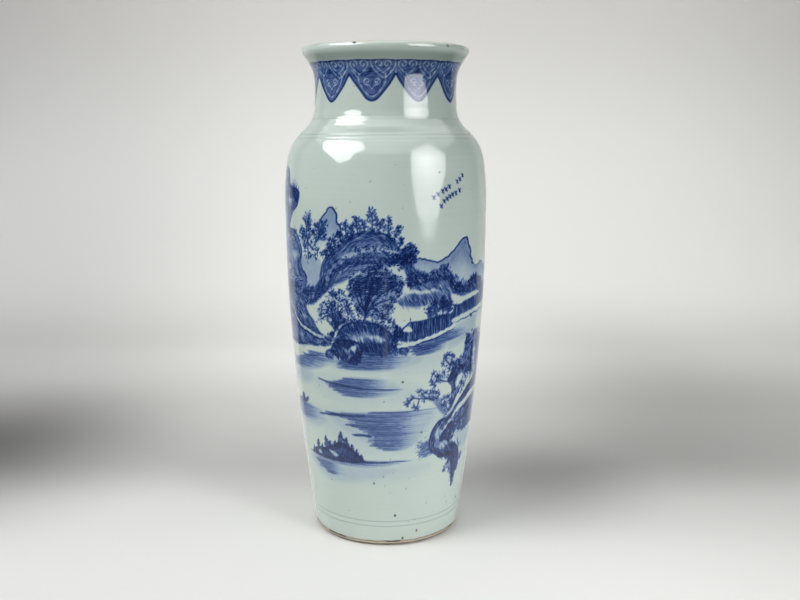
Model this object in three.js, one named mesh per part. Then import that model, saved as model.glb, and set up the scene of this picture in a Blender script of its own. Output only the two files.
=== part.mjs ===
// A tall porcelain vase of sleeve form, made as a potter makes one: three thrown body
// sections and a thrown neck, stacked mouth up and joined with rings of liquid clay (slip)
// that squeeze out as a soft bead inside. Millimetres, +Z up, origin at the centre of the foot.
import * as THREE from "three";

// The two sizes that everything else follows: the height, and the radius at the belly.
const vaseHeight = 450;
const bellyRadius = 93;

// The neck and shoulder are set out downwards from the rim, each distance from the one above.
const rimToFlare = 19;
const flareToNeck = 15;
const neckToNeckFoot = 20;
const neckFootToSlope = 19;
const slopeToShoulder = 25;
const flareHeight = vaseHeight - rimToFlare;
const neckHeight = flareHeight - flareToNeck;
const neckFootHeight = neckHeight - neckToNeckFoot;
const slopeHeight = neckFootHeight - neckFootToSlope;
const shoulderHeight = slopeHeight - slopeToShoulder;

// The belly and the waist keep their share of the height up to the shoulder.
const bellyHeight = (284 / 352) * shoulderHeight;
const waistHeight = (140 / 352) * shoulderHeight;

// How far the wall stands in from the belly's radius at each place.
const footInset = 24.2;
const waistInset = 7.4;
const shoulderInset = 3.1;
const slopeInset = 18.2;
const neckFootInset = 28;
const neckInset = 28.6;
const flareInset = 26.1;
const mouthInset = 17.3;
const footRadius = bellyRadius - footInset;
const mouthRadius = bellyRadius - mouthInset;

// How fast the wall leans out at each place, as a slope.
const footLean = 0.15;
const waistLean = 0.09;
const shoulderLean = -0.2;
const slopeLean = -1.15;
const neckFootLean = -0.05;
const neckLean = 0.03;
const flareLean = 0.42;

// The rolled lip, and the slope at which the flare runs into it.
const lipRadius = 3.8;
const lipAngle = THREE.MathUtils.degToRad(35);

// Wall, measured square to the surface.
const footWall = 11;
const bodyWall = 7.5;
const shoulderWall = 6.5;
const neckWall = 5.5;

// Foot: a solid floor, a knife-cut bevel outside and a shallow countersunk base inside the ring.
const floorThickness = 14;
const floorFillet = 12;
const bevelWidth = 2.2;
const bevelHeight = 2.8;
const footRingWidth = 13;
const countersinkDepth = 2.5;
const countersinkBevel = 2;

// The three luted joints, each placed under the form that it steadies, and the slip in them.
const jointBelowWaist = 2;
const jointBelowBelly = 16;
const jointBelowNeckFoot = 13;
const lowerJointHeight = waistHeight - jointBelowWaist;
const upperJointHeight = bellyHeight - jointBelowBelly;
const neckJointHeight = neckFootHeight - jointBelowNeckFoot;
const slipThickness = 1;
const slipBead = 1.6;

// Fine lines cut round the leather-hard clay before glazing.
const lineWidth = 0.9;
const lineDepth = 0.45;
const incisedLines = [20.3, 25.3, slopeHeight - 7, slopeHeight - 3.8, neckFootHeight - 9.5];

// How finely the curves are cut into facets.
const segments = 64;
const bodyStep = { straight: 28, easing: 12, turning: 5.5 };
const innerStep = { straight: 40, easing: 20, turning: 11 };
const arcSteps = 4;

const lipCentre = { r: mouthRadius - lipRadius, z: vaseHeight - lipRadius };

// Where the flare meets the rolled lip, outside and inside.
const lipOutside = {
  r: lipCentre.r + lipRadius * Math.cos(lipAngle),
  z: lipCentre.z - lipRadius * Math.sin(lipAngle),
};
const lipInside = {
  r: lipCentre.r - lipRadius * Math.cos(lipAngle),
  z: lipCentre.z + lipRadius * Math.sin(lipAngle),
};

const outsideStations = [
  { z: 0, r: footRadius, lean: footLean },
  { z: waistHeight, r: bellyRadius - waistInset, lean: waistLean },
  { z: bellyHeight, r: bellyRadius, lean: 0 },
  { z: shoulderHeight, r: bellyRadius - shoulderInset, lean: shoulderLean },
  { z: slopeHeight, r: bellyRadius - slopeInset, lean: slopeLean },
  { z: neckFootHeight, r: bellyRadius - neckFootInset, lean: neckFootLean },
  { z: neckHeight, r: bellyRadius - neckInset, lean: neckLean },
  { z: flareHeight, r: bellyRadius - flareInset, lean: flareLean },
  { z: lipOutside.z, r: lipOutside.r, lean: Math.tan(lipAngle) },
];

const wallStations = [
  { z: 0, r: footWall, lean: 0 },
  { z: waistHeight, r: bodyWall, lean: 0 },
  { z: shoulderHeight, r: shoulderWall, lean: 0 },
  { z: neckHeight, r: neckWall, lean: 0 },
  { z: lipOutside.z, r: 2 * lipRadius, lean: 0 },
];

// A smooth curve through stations (cubic Hermite): its value and its slope at height z.
function along(stations, z) {
  let i = 0;
  while (i < stations.length - 2 && z > stations[i + 1].z) i += 1;
  const a = stations[i];
  const b = stations[i + 1];
  const span = b.z - a.z;
  const t = (z - a.z) / span;
  const value =
    (2 * t ** 3 - 3 * t ** 2 + 1) * a.r +
    (t ** 3 - 2 * t ** 2 + t) * span * a.lean +
    (3 * t ** 2 - 2 * t ** 3) * b.r +
    (t ** 3 - t ** 2) * span * b.lean;
  const slope =
    ((6 * t ** 2 - 6 * t) * (a.r - b.r)) / span +
    (3 * t ** 2 - 4 * t + 1) * a.lean +
    (3 * t ** 2 - 2 * t) * b.lean;
  return { value, slope };
}

const outside = (z) => along(outsideStations, z).value;

// The inner wall keeps the wall's thickness square to the outside surface.
function inside(z) {
  const { value, slope } = along(outsideStations, z);
  return value - along(wallStations, z).value * Math.hypot(1, slope);
}

// Heights from low to high, closer together where the profile turns quickly.
function heights(low, high, step) {
  const found = [low];
  while (found.at(-1) < high) {
    const z = found.at(-1);
    const easing = z > bellyHeight ? step.easing : step.straight;
    const next = z + (z > shoulderHeight - step.turning ? step.turning : easing);
    found.push(high - next < step.turning / 2 ? high : next);
  }
  return found;
}

// The outside wall from low to high, with each incised line that falls on it cut in as a V.
function outsideWall(low, high) {
  const lines = incisedLines.filter((z) => z - lineWidth > low && z + lineWidth < high);
  const near = (z) => lines.some((line) => Math.abs(z - line) < lineWidth);
  const plain = heights(low, high, bodyStep)
    .filter((z) => !near(z))
    .map((z) => new THREE.Vector2(outside(z), z));
  const cuts = lines.flatMap((line) =>
    [-lineWidth / 2, 0, lineWidth / 2].map((offset) => {
      const z = line + offset;
      const depth = offset === 0 ? lineDepth * Math.hypot(1, along(outsideStations, z).slope) : 0;
      return new THREE.Vector2(outside(z) - depth, z);
    }),
  );
  return [...plain, ...cuts].sort((a, b) => a.y - b.y);
}

function insideWall(low, high) {
  return heights(low, high, innerStep).map((z) => new THREE.Vector2(inside(z), z));
}

// Points of an arc, in profile coordinates (radius, height).
function arc(centreR, centreZ, radius, from, to, steps) {
  return Array.from({ length: steps + 1 }, (_, i) => {
    const angle = from + ((to - from) * i) / steps;
    return new THREE.Vector2(
      centreR + radius * Math.cos(angle),
      centreZ + radius * Math.sin(angle),
    );
  });
}

// The profile is turned round Z. It runs anticlockwise: outside wall up, inside wall down.
function turned(name, profile, material) {
  const geometry = new THREE.LatheGeometry(profile, segments);
  geometry.rotateX(Math.PI / 2);
  const mesh = new THREE.Mesh(geometry, material);
  mesh.name = name;
  return mesh;
}

function glazedPorcelain() {
  return new THREE.MeshStandardMaterial({ color: 0xbfcdc8, roughness: 0.12, metalness: 0 });
}

function firedSlip() {
  return new THREE.MeshStandardMaterial({ color: 0xd9d4c6, roughness: 0.8, metalness: 0 });
}

// The lowest section carries the floor, the foot ring and the countersunk base.
function footSection() {
  const top = lowerJointHeight - slipThickness / 2;
  const ringInner = footRadius - bevelWidth - footRingWidth;
  const corner = inside(floorThickness + floorFillet) - floorFillet;
  const profile = [
    new THREE.Vector2(0, countersinkDepth),
    new THREE.Vector2(ringInner - countersinkBevel, countersinkDepth),
    new THREE.Vector2(ringInner, 0),
    new THREE.Vector2(footRadius - bevelWidth, 0),
    ...outsideWall(bevelHeight, top),
    ...insideWall(floorThickness + floorFillet, top).reverse(),
    ...arc(corner, floorThickness + floorFillet, floorFillet, 0, -Math.PI / 2, arcSteps).slice(1),
    new THREE.Vector2(0, floorThickness),
  ];
  return turned("foot_section", profile, glazedPorcelain());
}

// A plain thrown ring of wall between two joints.
function wallSection(name, lowJoint, highJoint) {
  const low = lowJoint + slipThickness / 2;
  const high = highJoint - slipThickness / 2;
  const profile = [...outsideWall(low, high), ...insideWall(low, high).reverse()];
  return turned(name, [...profile, profile[0].clone()], glazedPorcelain());
}

// The neck rises from the shoulder, flares and ends in a rolled lip.
function neckSection() {
  const low = neckJointHeight + slipThickness / 2;
  const crest = Math.PI / 2;
  const lip = [
    ...arc(lipCentre.r, lipCentre.z, lipRadius, -lipAngle, crest, arcSteps),
    ...arc(lipCentre.r, lipCentre.z, lipRadius, crest, Math.PI - lipAngle, 2).slice(1),
  ];
  const profile = [
    ...outsideWall(low, lipOutside.z).slice(0, -1),
    ...lip,
    ...insideWall(low, lipOutside.z).slice(0, -1).reverse(),
  ];
  return turned("neck_section", [...profile, profile[0].clone()], glazedPorcelain());
}

// The slip that joins two sections: a thin layer, flush outside, with a round bead inside.
function slipJoint(name, joint) {
  const low = joint - slipThickness / 2;
  const high = joint + slipThickness / 2;
  const bead = arc(
    inside(joint),
    joint,
    slipBead,
    Math.PI / 2 + Math.PI / 6,
    (3 * Math.PI) / 2 - Math.PI / 6,
    arcSteps,
  );
  const profile = [
    new THREE.Vector2(inside(low), low),
    new THREE.Vector2(outside(low), low),
    new THREE.Vector2(outside(high), high),
    new THREE.Vector2(inside(high), high),
    ...bead.filter((point) => point.x < Math.min(inside(low), inside(high)) - 0.1),
  ];
  return turned(name, [...profile, profile[0].clone()], firedSlip());
}

const vase = new THREE.Group();
vase.add(
  footSection(),
  wallSection("middle_section", lowerJointHeight, upperJointHeight),
  wallSection("shoulder_section", upperJointHeight, neckJointHeight),
  neckSection(),
  slipJoint("lower_slip_joint", lowerJointHeight),
  slipJoint("upper_slip_joint", upperJointHeight),
  slipJoint("neck_slip_joint", neckJointHeight),
);

export default vase;
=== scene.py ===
# %% [markdown]
# # A tall blue and white sleeve vase
# The real thing is porcelain: thrown in sections, luted together with slip, painted by brush in
# cobalt, then covered with one clear, faintly blue-green glaze and fired once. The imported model
# gives the sections their size and place. This script gives them their smooth skin, their
# painting and their light, in the order in which a potter and a photographer would work.

# %% Load the frame
import math

import bpy
import numpy as np
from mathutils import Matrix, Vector


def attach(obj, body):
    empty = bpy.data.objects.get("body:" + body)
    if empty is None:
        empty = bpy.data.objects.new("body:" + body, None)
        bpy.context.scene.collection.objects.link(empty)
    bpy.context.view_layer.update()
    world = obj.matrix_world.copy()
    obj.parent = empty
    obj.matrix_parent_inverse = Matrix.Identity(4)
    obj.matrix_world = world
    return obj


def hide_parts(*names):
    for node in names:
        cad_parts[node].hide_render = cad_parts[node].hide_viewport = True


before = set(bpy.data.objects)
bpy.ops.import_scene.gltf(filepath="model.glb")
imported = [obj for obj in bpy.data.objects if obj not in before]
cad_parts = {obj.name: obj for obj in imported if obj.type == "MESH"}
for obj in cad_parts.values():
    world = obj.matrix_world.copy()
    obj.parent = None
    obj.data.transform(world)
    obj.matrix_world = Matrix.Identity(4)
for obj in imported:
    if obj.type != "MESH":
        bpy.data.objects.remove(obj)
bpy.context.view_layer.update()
scene = bpy.context.scene
MM = 0.001
TAU = 2 * math.pi

# %% [markdown]
# ## The camera
# A viewpoint can be guessed by eye or fitted. Here it was fitted: the lines cut round the foot
# and the shoulder are true circles, so how much each one bows in the picture says how high and
# how far away the camera stood. The focal length is in pixels of an 800 pixel wide picture.

# %% Camera
PICTURE_WIDTH = 800
FOCAL_PIXELS = 922.2
CAMERA_PLACE = (0.0131, -0.8624, 0.3794)
CAMERA_DIP = math.radians(10.62)

camera_data = bpy.data.cameras.new("camera")
camera_data.sensor_width = 36
camera_data.lens = 36 * FOCAL_PIXELS / PICTURE_WIDTH
camera = bpy.data.objects.new("camera", camera_data)
camera.location = CAMERA_PLACE
camera.rotation_euler = (math.pi / 2 - CAMERA_DIP, 0, 0)
scene.collection.objects.link(camera)
scene.camera = camera
print("lens", round(camera_data.lens, 1), "mm")

# %% [markdown]
# ## The outline
# A potter's profile is a soft curve through a few places that matter: foot, waist, belly,
# shoulder, neck and flare. Each has a height, a radius and a lean (how fast the wall moves
# outwards as it rises), and a cubic Hermite curve runs through them all. The same numbers drive
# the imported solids, so the skin made here lies exactly on them. Millimetres until the mesh.

# %% Outline: height, radius, lean
LIP_ROLL = 3.8
LIP_ANGLE = math.radians(35)
LIP_R, LIP_Z = 75.7 - LIP_ROLL, 450 - LIP_ROLL
FLARE_END = (
    LIP_Z - LIP_ROLL * math.sin(LIP_ANGLE),
    LIP_R + LIP_ROLL * math.cos(LIP_ANGLE),
    math.tan(LIP_ANGLE),
)
OUTSIDE = [
    (0, 68.8, 0.15),
    (140, 85.6, 0.09),
    (284, 93, 0),
    (352, 89.9, -0.2),
    (377, 74.8, -1.15),
    (396, 65, -0.05),
    (416, 64.4, 0.03),
    (431, 66.9, 0.42),
    FLARE_END,
]
WALL = [(0, 11, 0), (140, 7.5, 0), (352, 6.5, 0), (416, 5.5, 0), (FLARE_END[0], 2 * LIP_ROLL, 0)]
CUT_LINES = np.array([20.3, 25.3, 370, 373.2, 386.5])
CUT_DEPTHS = np.array([0.3, 0.3, 0.17, 0.2, 0.12])
CUT_WIDTH = 0.9


def along(stations, z):
    """Value and slope, at heights z, of the smooth curve through the stations."""
    z = np.asarray(z, float)
    heights, values, leans = (np.array(c, float) for c in zip(*stations))
    i = np.clip(np.searchsorted(heights, z, side="right") - 1, 0, len(heights) - 2)
    span = heights[i + 1] - heights[i]
    t = (z - heights[i]) / span
    value = (
        (2 * t**3 - 3 * t**2 + 1) * values[i]
        + (t**3 - 2 * t**2 + t) * span * leans[i]
        + (3 * t**2 - 2 * t**3) * values[i + 1]
        + (t**3 - t**2) * span * leans[i + 1]
    )
    slope = (
        (6 * t**2 - 6 * t) * (values[i] - values[i + 1]) / span
        + (3 * t**2 - 4 * t + 1) * leans[i]
        + (3 * t**2 - 2 * t) * leans[i + 1]
    )
    return value, slope


# %% [markdown]
# The potter's fingers leave faint, level swells in the wall, under a twentieth of a millimetre.
# They are too low to see as a shape but they bend the reflections, so they are real geometry.

# %% Walls
def swell(z):
    """Faint throwing rings, as a sum of level waves."""
    near_neck = np.exp(-(((z - 382) / 14) ** 2))
    rings = 0.008 * np.sin(z / 2.9 + 3) + 0.016 * np.sin(z / 5.3 + 4.2) + 0.026 * np.sin(z / 11.7 + 0.4)
    return rings + near_neck * (0.035 * np.sin(z / 0.62) + 0.1 * np.sin(z / 1.3 + 2))


def outside(z):
    """Outer radius, with the cut lines sunk in as soft grooves."""
    z = np.asarray(z, float)
    radius = along(OUTSIDE, z)[0] + swell(z)
    for cut, depth in zip(CUT_LINES, CUT_DEPTHS):
        radius = radius - depth * np.exp(-(((z - cut) / (CUT_WIDTH / 2)) ** 2))
    return radius


def inside(z):
    """Inner radius. The wall's thickness is measured square to the outside."""
    radius, slope = along(OUTSIDE, z)
    return radius - along(WALL, z)[0] * np.hypot(1, slope)


def arc(r, z, radius, start, end, steps):
    """Points (radius, height) on an arc between two angles in degrees."""
    angles = np.radians(np.linspace(start, end, steps + 1))
    return [(r + radius * math.cos(a), z + radius * math.sin(a)) for a in angles]


print("belly", float(outside(284)), "neck", float(outside(416)), "inside the neck", float(inside(416)))

# %% [markdown]
# ## Turning a profile
# Blender has a Spin tool and a Screw modifier, but a Geometry Nodes tree keeps the number of
# steps round the wheel as an input and stores the UV map in the same go. The tree lays out a
# flat grid with a column for each step and a row for each profile point, looks up which profile
# point each grid point stands for, and swings it round the axis, anticlockwise from the back.
# "Front" crowds the steps together on the side that faces the camera, where the painting needs
# the finest mesh, and spaces them out behind.

# %% The wheel, as a node tree
def node_helpers(tree):
    """Short ways to add nodes and maths to a tree."""
    def add(kind, **settings):
        node = tree.nodes.new(kind)
        for key, value in settings.items():
            setattr(node, key, value)
        return node

    def maths(operation, a, b=None):
        node = add("ShaderNodeMath", operation=operation)
        for socket, value in zip(node.inputs, (a, b)):
            if isinstance(value, (int, float)):
                socket.default_value = value
            elif value is not None:
                tree.links.new(value, socket)
        return node.outputs[0]

    return add, maths, tree.links.new


def wheel_tree():
    tree = bpy.data.node_groups.new("potters_wheel", "GeometryNodeTree")
    tree.interface.new_socket("Geometry", in_out="OUTPUT", socket_type="NodeSocketGeometry")
    tree.interface.new_socket("Geometry", in_out="INPUT", socket_type="NodeSocketGeometry")
    tree.interface.new_socket("Steps", in_out="INPUT", socket_type="NodeSocketInt")
    tree.interface.new_socket("Front", in_out="INPUT", socket_type="NodeSocketFloat")
    tree.interface.new_socket("Clay", in_out="INPUT", socket_type="NodeSocketMaterial")
    add, maths, link = node_helpers(tree)

    source = add("NodeGroupInput")
    size = add("GeometryNodeAttributeDomainSize")
    link(source.outputs["Geometry"], size.inputs[0])
    rows = size.outputs["Point Count"]
    grid = add("GeometryNodeMeshGrid")
    link(maths("ADD", source.outputs["Steps"], 1), grid.inputs["Vertices X"])
    link(rows, grid.inputs["Vertices Y"])

    index = add("GeometryNodeInputIndex").outputs[0]
    row = maths("FLOORED_MODULO", index, rows)
    share = maths("DIVIDE", maths("FLOOR", maths("DIVIDE", index, rows)), source.outputs["Steps"])
    crowd = maths("MULTIPLY", source.outputs["Front"], maths("SINE", maths("MULTIPLY", share, TAU)))
    angle = maths("ADD", maths("MULTIPLY", share, TAU), crowd)
    sample = add("GeometryNodeSampleIndex", data_type="FLOAT_VECTOR", domain="POINT")
    link(source.outputs["Geometry"], sample.inputs["Geometry"])
    link(add("GeometryNodeInputPosition").outputs[0], sample.inputs["Value"])
    link(row, sample.inputs["Index"])
    profile = add("ShaderNodeSeparateXYZ")
    link(sample.outputs["Value"], profile.inputs[0])

    place = add("ShaderNodeCombineXYZ")
    aside = maths("MULTIPLY", profile.outputs["X"], maths("SINE", angle))
    link(maths("MULTIPLY", aside, -1), place.inputs["X"])
    link(maths("MULTIPLY", profile.outputs["X"], maths("COSINE", angle)), place.inputs["Y"])
    link(profile.outputs["Z"], place.inputs["Z"])
    move = add("GeometryNodeSetPosition")
    link(grid.outputs["Mesh"], move.inputs["Geometry"])
    link(place.outputs[0], move.inputs["Position"])

    uv = add("ShaderNodeCombineXYZ")
    link(share, uv.inputs["X"])
    link(maths("DIVIDE", row, maths("SUBTRACT", rows, 1)), uv.inputs["Y"])
    store = add("GeometryNodeStoreNamedAttribute", data_type="FLOAT2", domain="CORNER")
    store.inputs["Name"].default_value = "OFBake"
    link(move.outputs[0], store.inputs["Geometry"])
    link(uv.outputs[0], store.inputs["Value"])

    merge = add("GeometryNodeMergeByDistance")
    merge.inputs["Distance"].default_value = 2e-6
    link(store.outputs[0], merge.inputs["Geometry"])
    real = add("GeometryNodeRealizeInstances")
    link(merge.outputs[0], real.inputs[0])
    clay = add("GeometryNodeSetMaterial")
    link(real.outputs[0], clay.inputs["Geometry"])
    link(source.outputs["Clay"], clay.inputs["Material"])
    link(clay.outputs[0], add("NodeGroupOutput").inputs[0])
    return tree


wheel = wheel_tree()
print("wheel:", len(wheel.nodes), "nodes")

# %% [markdown]
# The tree's result is read back as a plain mesh, because the painting is laid on its points and
# because a live modifier would have to be evaluated again for every pose and export.

# %% Run a tree and keep its mesh
def grown(name, seed, tree, **inputs):
    """The mesh that a Geometry Nodes tree makes out of a seed mesh."""
    maker = bpy.data.objects.new(name + "_seed", seed)
    scene.collection.objects.link(maker)
    modifier = maker.modifiers.new("tree", "NODES")
    modifier.node_group = tree
    for socket in tree.interface.items_tree:
        if socket.in_out == "INPUT" and socket.name in inputs:
            modifier[socket.identifier] = inputs[socket.name]
    bpy.context.view_layer.update()
    evaluated = maker.evaluated_get(bpy.context.evaluated_depsgraph_get())
    mesh = bpy.data.meshes.new_from_object(evaluated)
    mesh.name = name
    bpy.data.objects.remove(maker)
    bpy.data.meshes.remove(seed)
    piece = bpy.data.objects.new(name, mesh)
    scene.collection.objects.link(piece)
    print(f"{name}: {len(mesh.vertices)} points, {len(mesh.polygons)} faces")
    return piece


def turned(name, profile, steps, material, front=0.0, crease=50):
    """A closed solid turned from (radius, height) points in millimetres."""
    seed = bpy.data.meshes.new(name + "_profile")
    seed.from_pydata([(r * MM, 0, z * MM) for r, z in profile], [], [])
    piece = grown(name, seed, wheel, Steps=steps, Front=front, Clay=material)
    piece.data.shade_smooth()
    piece.data.set_sharp_from_angle(angle=math.radians(crease))
    return piece

# %% [markdown]
# ## Painting on the unrolled wall
# A decorator paints on the raw clay with cobalt in water: a thin wash for distance and water, a
# loaded brush for outlines, a nearly dry one whose hairs leave streaks, and the tip for leaves.
# Here the wall is unrolled into a grid of cells, one turn wide, and each way of painting has a
# layer of its own. Every motif is drawn by rule from a few points, then the layers are read at
# the skin's points, and the glaze material turns them into colour. Millimetres.

# %% The unrolled wall
class Paper:
    """The glaze unrolled: columns go once round the vase, rows go up. Millimetres.
    wash: thin, even cobalt. ink: strokes. leaf: how leafy. hair: how strongly the hairs of a
    dry brush show, and comb: where a place lies across and along those hairs."""

    def __init__(self, radius, low, high, cell):
        self.columns = round(TAU * radius / cell)
        self.cell = TAU * radius / self.columns
        self.low = low
        self.rows = round((high - low) / self.cell)
        shape = (self.rows, self.columns)
        self.wash, self.ink, self.leaf, self.hair = (np.zeros(shape, np.float32) for _ in range(4))
        self.across, self.along, self.iron = (np.zeros(shape, np.float32) for _ in range(3))

    def window(self, x0, x1, z0, z1):
        """The cells between two places round the vase and two heights."""
        columns = np.arange(math.floor(x0 / self.cell), math.ceil(x1 / self.cell) + 1)
        first = max(0, math.floor((z0 - self.low) / self.cell))
        last = min(self.rows - 1, math.ceil((z1 - self.low) / self.cell))
        rows = np.arange(first, last + 1)
        X, Z = np.meshgrid((columns + 0.5) * self.cell, (rows + 0.5) * self.cell + self.low)
        return np.ix_(rows, columns % self.columns), X, Z


def curve(points, closed=False, steps=6):
    """A smooth line through points (Catmull-Rom)."""
    p = np.array(points, float)
    if closed:
        p = np.vstack([p[-1], p, p[:2]])
    else:
        p = np.vstack([2 * p[0] - p[1], p, 2 * p[-1] - p[-2]])
    t = np.linspace(0, 1, steps, endpoint=False)[:, None]
    runs = []
    for a, b, c, d in zip(p[:-3], p[1:-2], p[2:-1], p[3:]):
        bow, twist = 2 * a - 5 * b + 4 * c - d, 3 * b - a - 3 * c + d
        runs.append(0.5 * (2 * b + (c - a) * t + bow * t**2 + twist * t**3))
    if not closed:
        runs.append(p[-2:-1])
    return np.vstack(runs)


def craggy(points, seed, size=0.8, step=2.4):
    """The same line broken into small steps, as on a painted rock."""
    rng = np.random.default_rng(seed)
    path = curve(points, steps=12)
    run = np.r_[0, np.cumsum(np.hypot(*np.diff(path, axis=0).T))]
    at = np.linspace(0, run[-1], max(4, round(run[-1] / step)))
    places = np.stack([np.interp(at, run, path[:, 0]), np.interp(at, run, path[:, 1])], 1)
    places[1:-1] += rng.uniform(-size, size, (len(places) - 2, 2))
    return [tuple(p) for p in places]


def smooth(low, high, value):
    """From 0 to 1 in a soft line as a value goes from low to high."""
    t = np.clip((value - low) / (high - low), 0, 1)
    return t * t * (3 - 2 * t)


# %% Distances to a path
def measure(path, X, Z, closed=True):
    """Distance to a path (inside a closed one it is positive, outside negative), the direction
    of its nearest stretch, and how far along the path that is."""
    nearest = np.full(X.shape, 1e9)
    heading, travelled = np.zeros(X.shape), np.zeros(X.shape)
    inside = np.zeros(X.shape, bool)
    start = 0.0
    ends = np.roll(path, -1, axis=0) if closed else path[1:]
    for (ax, az), (bx, bz) in zip(path, ends):
        dx, dz = bx - ax, bz - az
        length = math.hypot(dx, dz)
        t = np.clip(((X - ax) * dx + (Z - az) * dz) / (length * length + 1e-9), 0, 1)
        gap = np.hypot(X - ax - t * dx, Z - az - t * dz)
        closer = gap < nearest
        nearest = np.where(closer, gap, nearest)
        heading = np.where(closer, math.atan2(dz, dx), heading)
        travelled = np.where(closer, start + t * length, travelled)
        start += length
        if closed and az != bz:
            crosses = (az > Z) != (bz > Z)
            inside ^= crosses & (X < ax + (Z - az) * dx / (bz - az))
    if closed:
        nearest = np.where(inside, nearest, -nearest)
    return nearest, heading, travelled


# %% [markdown]
# A stroke is a chain of short straight touches, each a little capsule with its own width at both
# ends. Thousands of them are laid together in one go, which keeps the script quick.

# %% Touches and lines
AT_ONCE = 3_000_000


def touches(layer, paper, a, b, width_a, width_b, density, soft=0.5):
    """Many touches of the brush at once, each a short straight run from a to b."""
    a, b = np.atleast_2d(a).astype(float), np.atleast_2d(b).astype(float)
    n = len(a)
    spread_out = (np.broadcast_to(np.asarray(v, float), n) for v in (width_a, width_b, density))
    width_a, width_b, density = spread_out
    reach = np.hypot(*(b - a).T) / 2 + np.maximum(width_a, width_b) / 2 + soft
    half = np.ceil(reach / paper.cell).astype(int) + 1
    size = np.ceil(half / 4).astype(int) * 4
    flat = layer.reshape(-1)
    for s in np.unique(size):
        spread = np.arange(-s, s + 1)
        every = np.flatnonzero(size == s)
        for part in np.array_split(every, max(1, len(every) * len(spread) ** 2 // AT_ONCE)):
            pa, pb = a[part][:, None, None], b[part][:, None, None]
            middle = (pa + pb) / 2
            column = np.floor(middle[..., 0] / paper.cell).astype(int) + spread[None, None, :]
            up = (middle[..., 1] - paper.low) / paper.cell
            row = np.floor(up).astype(int) + spread[None, :, None]
            X, Z = (column + 0.5) * paper.cell, (row + 0.5) * paper.cell + paper.low
            (ax, az), (dx, dz) = np.moveaxis(pa, -1, 0), np.moveaxis(pb - pa, -1, 0)
            t = np.clip(((X - ax) * dx + (Z - az) * dz) / (dx * dx + dz * dz + 1e-9), 0, 1)
            gap = np.hypot(X - ax - t * dx, Z - az - t * dz)
            wa, wb = width_a[part][:, None, None], width_b[part][:, None, None]
            cover = np.clip((wa + (wb - wa) * t) / 2 / soft - gap / soft + 0.5, 0, 1)
            value = cover * density[part][:, None, None]
            keep = (value > 0.01) & (row >= 0) & (row < paper.rows)
            index = row * paper.columns + column % paper.columns
            index = np.broadcast_to(index, value.shape)
            np.maximum.at(flat, index[keep], value[keep].astype(np.float32))


def line(paper, points, width, density, ends=(0.3, 0.3), soft=0.5, steps=6):
    """One stroke of the brush along a smooth line, thinner at its ends."""
    p = curve(points, steps=steps)
    t = np.linspace(0, 1, len(p))
    shape = np.minimum(1, np.minimum(ends[0] + 4 * t, ends[1] + 4 * (1 - t))) * width
    touches(paper.ink, paper, p[:-1], p[1:], shape[:-1], shape[1:], density, soft)


# %% Washes, wiped lights and bare paths
def area(paper, points, soft, sharp=False):
    """The cells round an outline, with their depth inside it and their place along it."""
    outline = np.array(points, float) if sharp else curve(points, closed=True)
    (x0, z0), (x1, z1) = outline.min(0) - soft, outline.max(0) + soft
    place, X, Z = paper.window(x0, x1, z0, z1)
    depth, _, travelled = measure(outline, X, Z)
    return place, X, Z, depth, travelled


def fill(paper, points, wash, soft=1.0, sharp=False, fade=None, hair=0.0, leaf=0.0, comb=None):
    """A wash inside an outline. hair lets the brush's hairs show, along the outline or, with
    comb, at an angle in degrees. leaf makes it leafy. fade(X, Z) thins everything."""
    place, X, Z, depth, travelled = area(paper, points, soft, sharp)
    cover = smooth(-soft, soft, depth)
    if fade is not None:
        cover = cover * fade(X, Z)
    paper.wash[place] = np.maximum(paper.wash[place], cover * wash)
    if leaf:
        paper.leaf[place] = np.maximum(paper.leaf[place], cover * leaf)
    if hair:
        mine = cover > 0.3
        if comb is None:
            across, along = depth, travelled
        else:
            c, s = math.cos(math.radians(comb)), math.sin(math.radians(comb))
            across, along = Z * c - X * s, X * c + Z * s
        paper.hair[place] = np.where(mine, cover * hair, paper.hair[place])
        paper.across[place] = np.where(mine, across, paper.across[place])
        paper.along[place] = np.where(mine, along, paper.along[place])


def thin(paper, place, keep):
    """Leave only a share of every layer of paint in some cells."""
    for layer in (paper.wash, paper.ink, paper.leaf, paper.hair):
        layer[place] *= keep


def wipe(paper, points, strength=1.0, soft=1.5):
    """Cobalt wiped off again, so that the glaze shows white."""
    place, _, _, depth, _ = area(paper, points, soft)
    thin(paper, place, 1 - strength * smooth(-soft, soft, depth))


def spare(paper, points, width, strength=0.9, soft=0.7):
    """A path left bare between strokes."""
    path = curve(points, steps=5)
    (x0, z0), (x1, z1) = path.min(0) - width, path.max(0) + width
    place, X, Z = paper.window(x0, x1, z0, z1)
    gap, _, travelled = measure(path, X, Z, closed=False)
    gap = gap + 0.5 * np.sin(travelled * 0.9) * soft
    thin(paper, place, 1 - strength * smooth(width / 2 + soft / 2, width / 2 - soft / 2, gap))


# %% Hatching and dabs
STROKE_SHAPE = (0.35, 0.9, 1.0, 0.75, 0.25)


def scatter(rng, outline, count):
    """Random places inside an outline, with their depth and the direction of its edge."""
    p = rng.uniform(outline.min(0), outline.max(0), (count, 2))
    depth, heading, _ = measure(outline, p[:, 0], p[:, 1])
    keep = depth > 0
    return p[keep], depth[keep], heading[keep]


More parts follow.
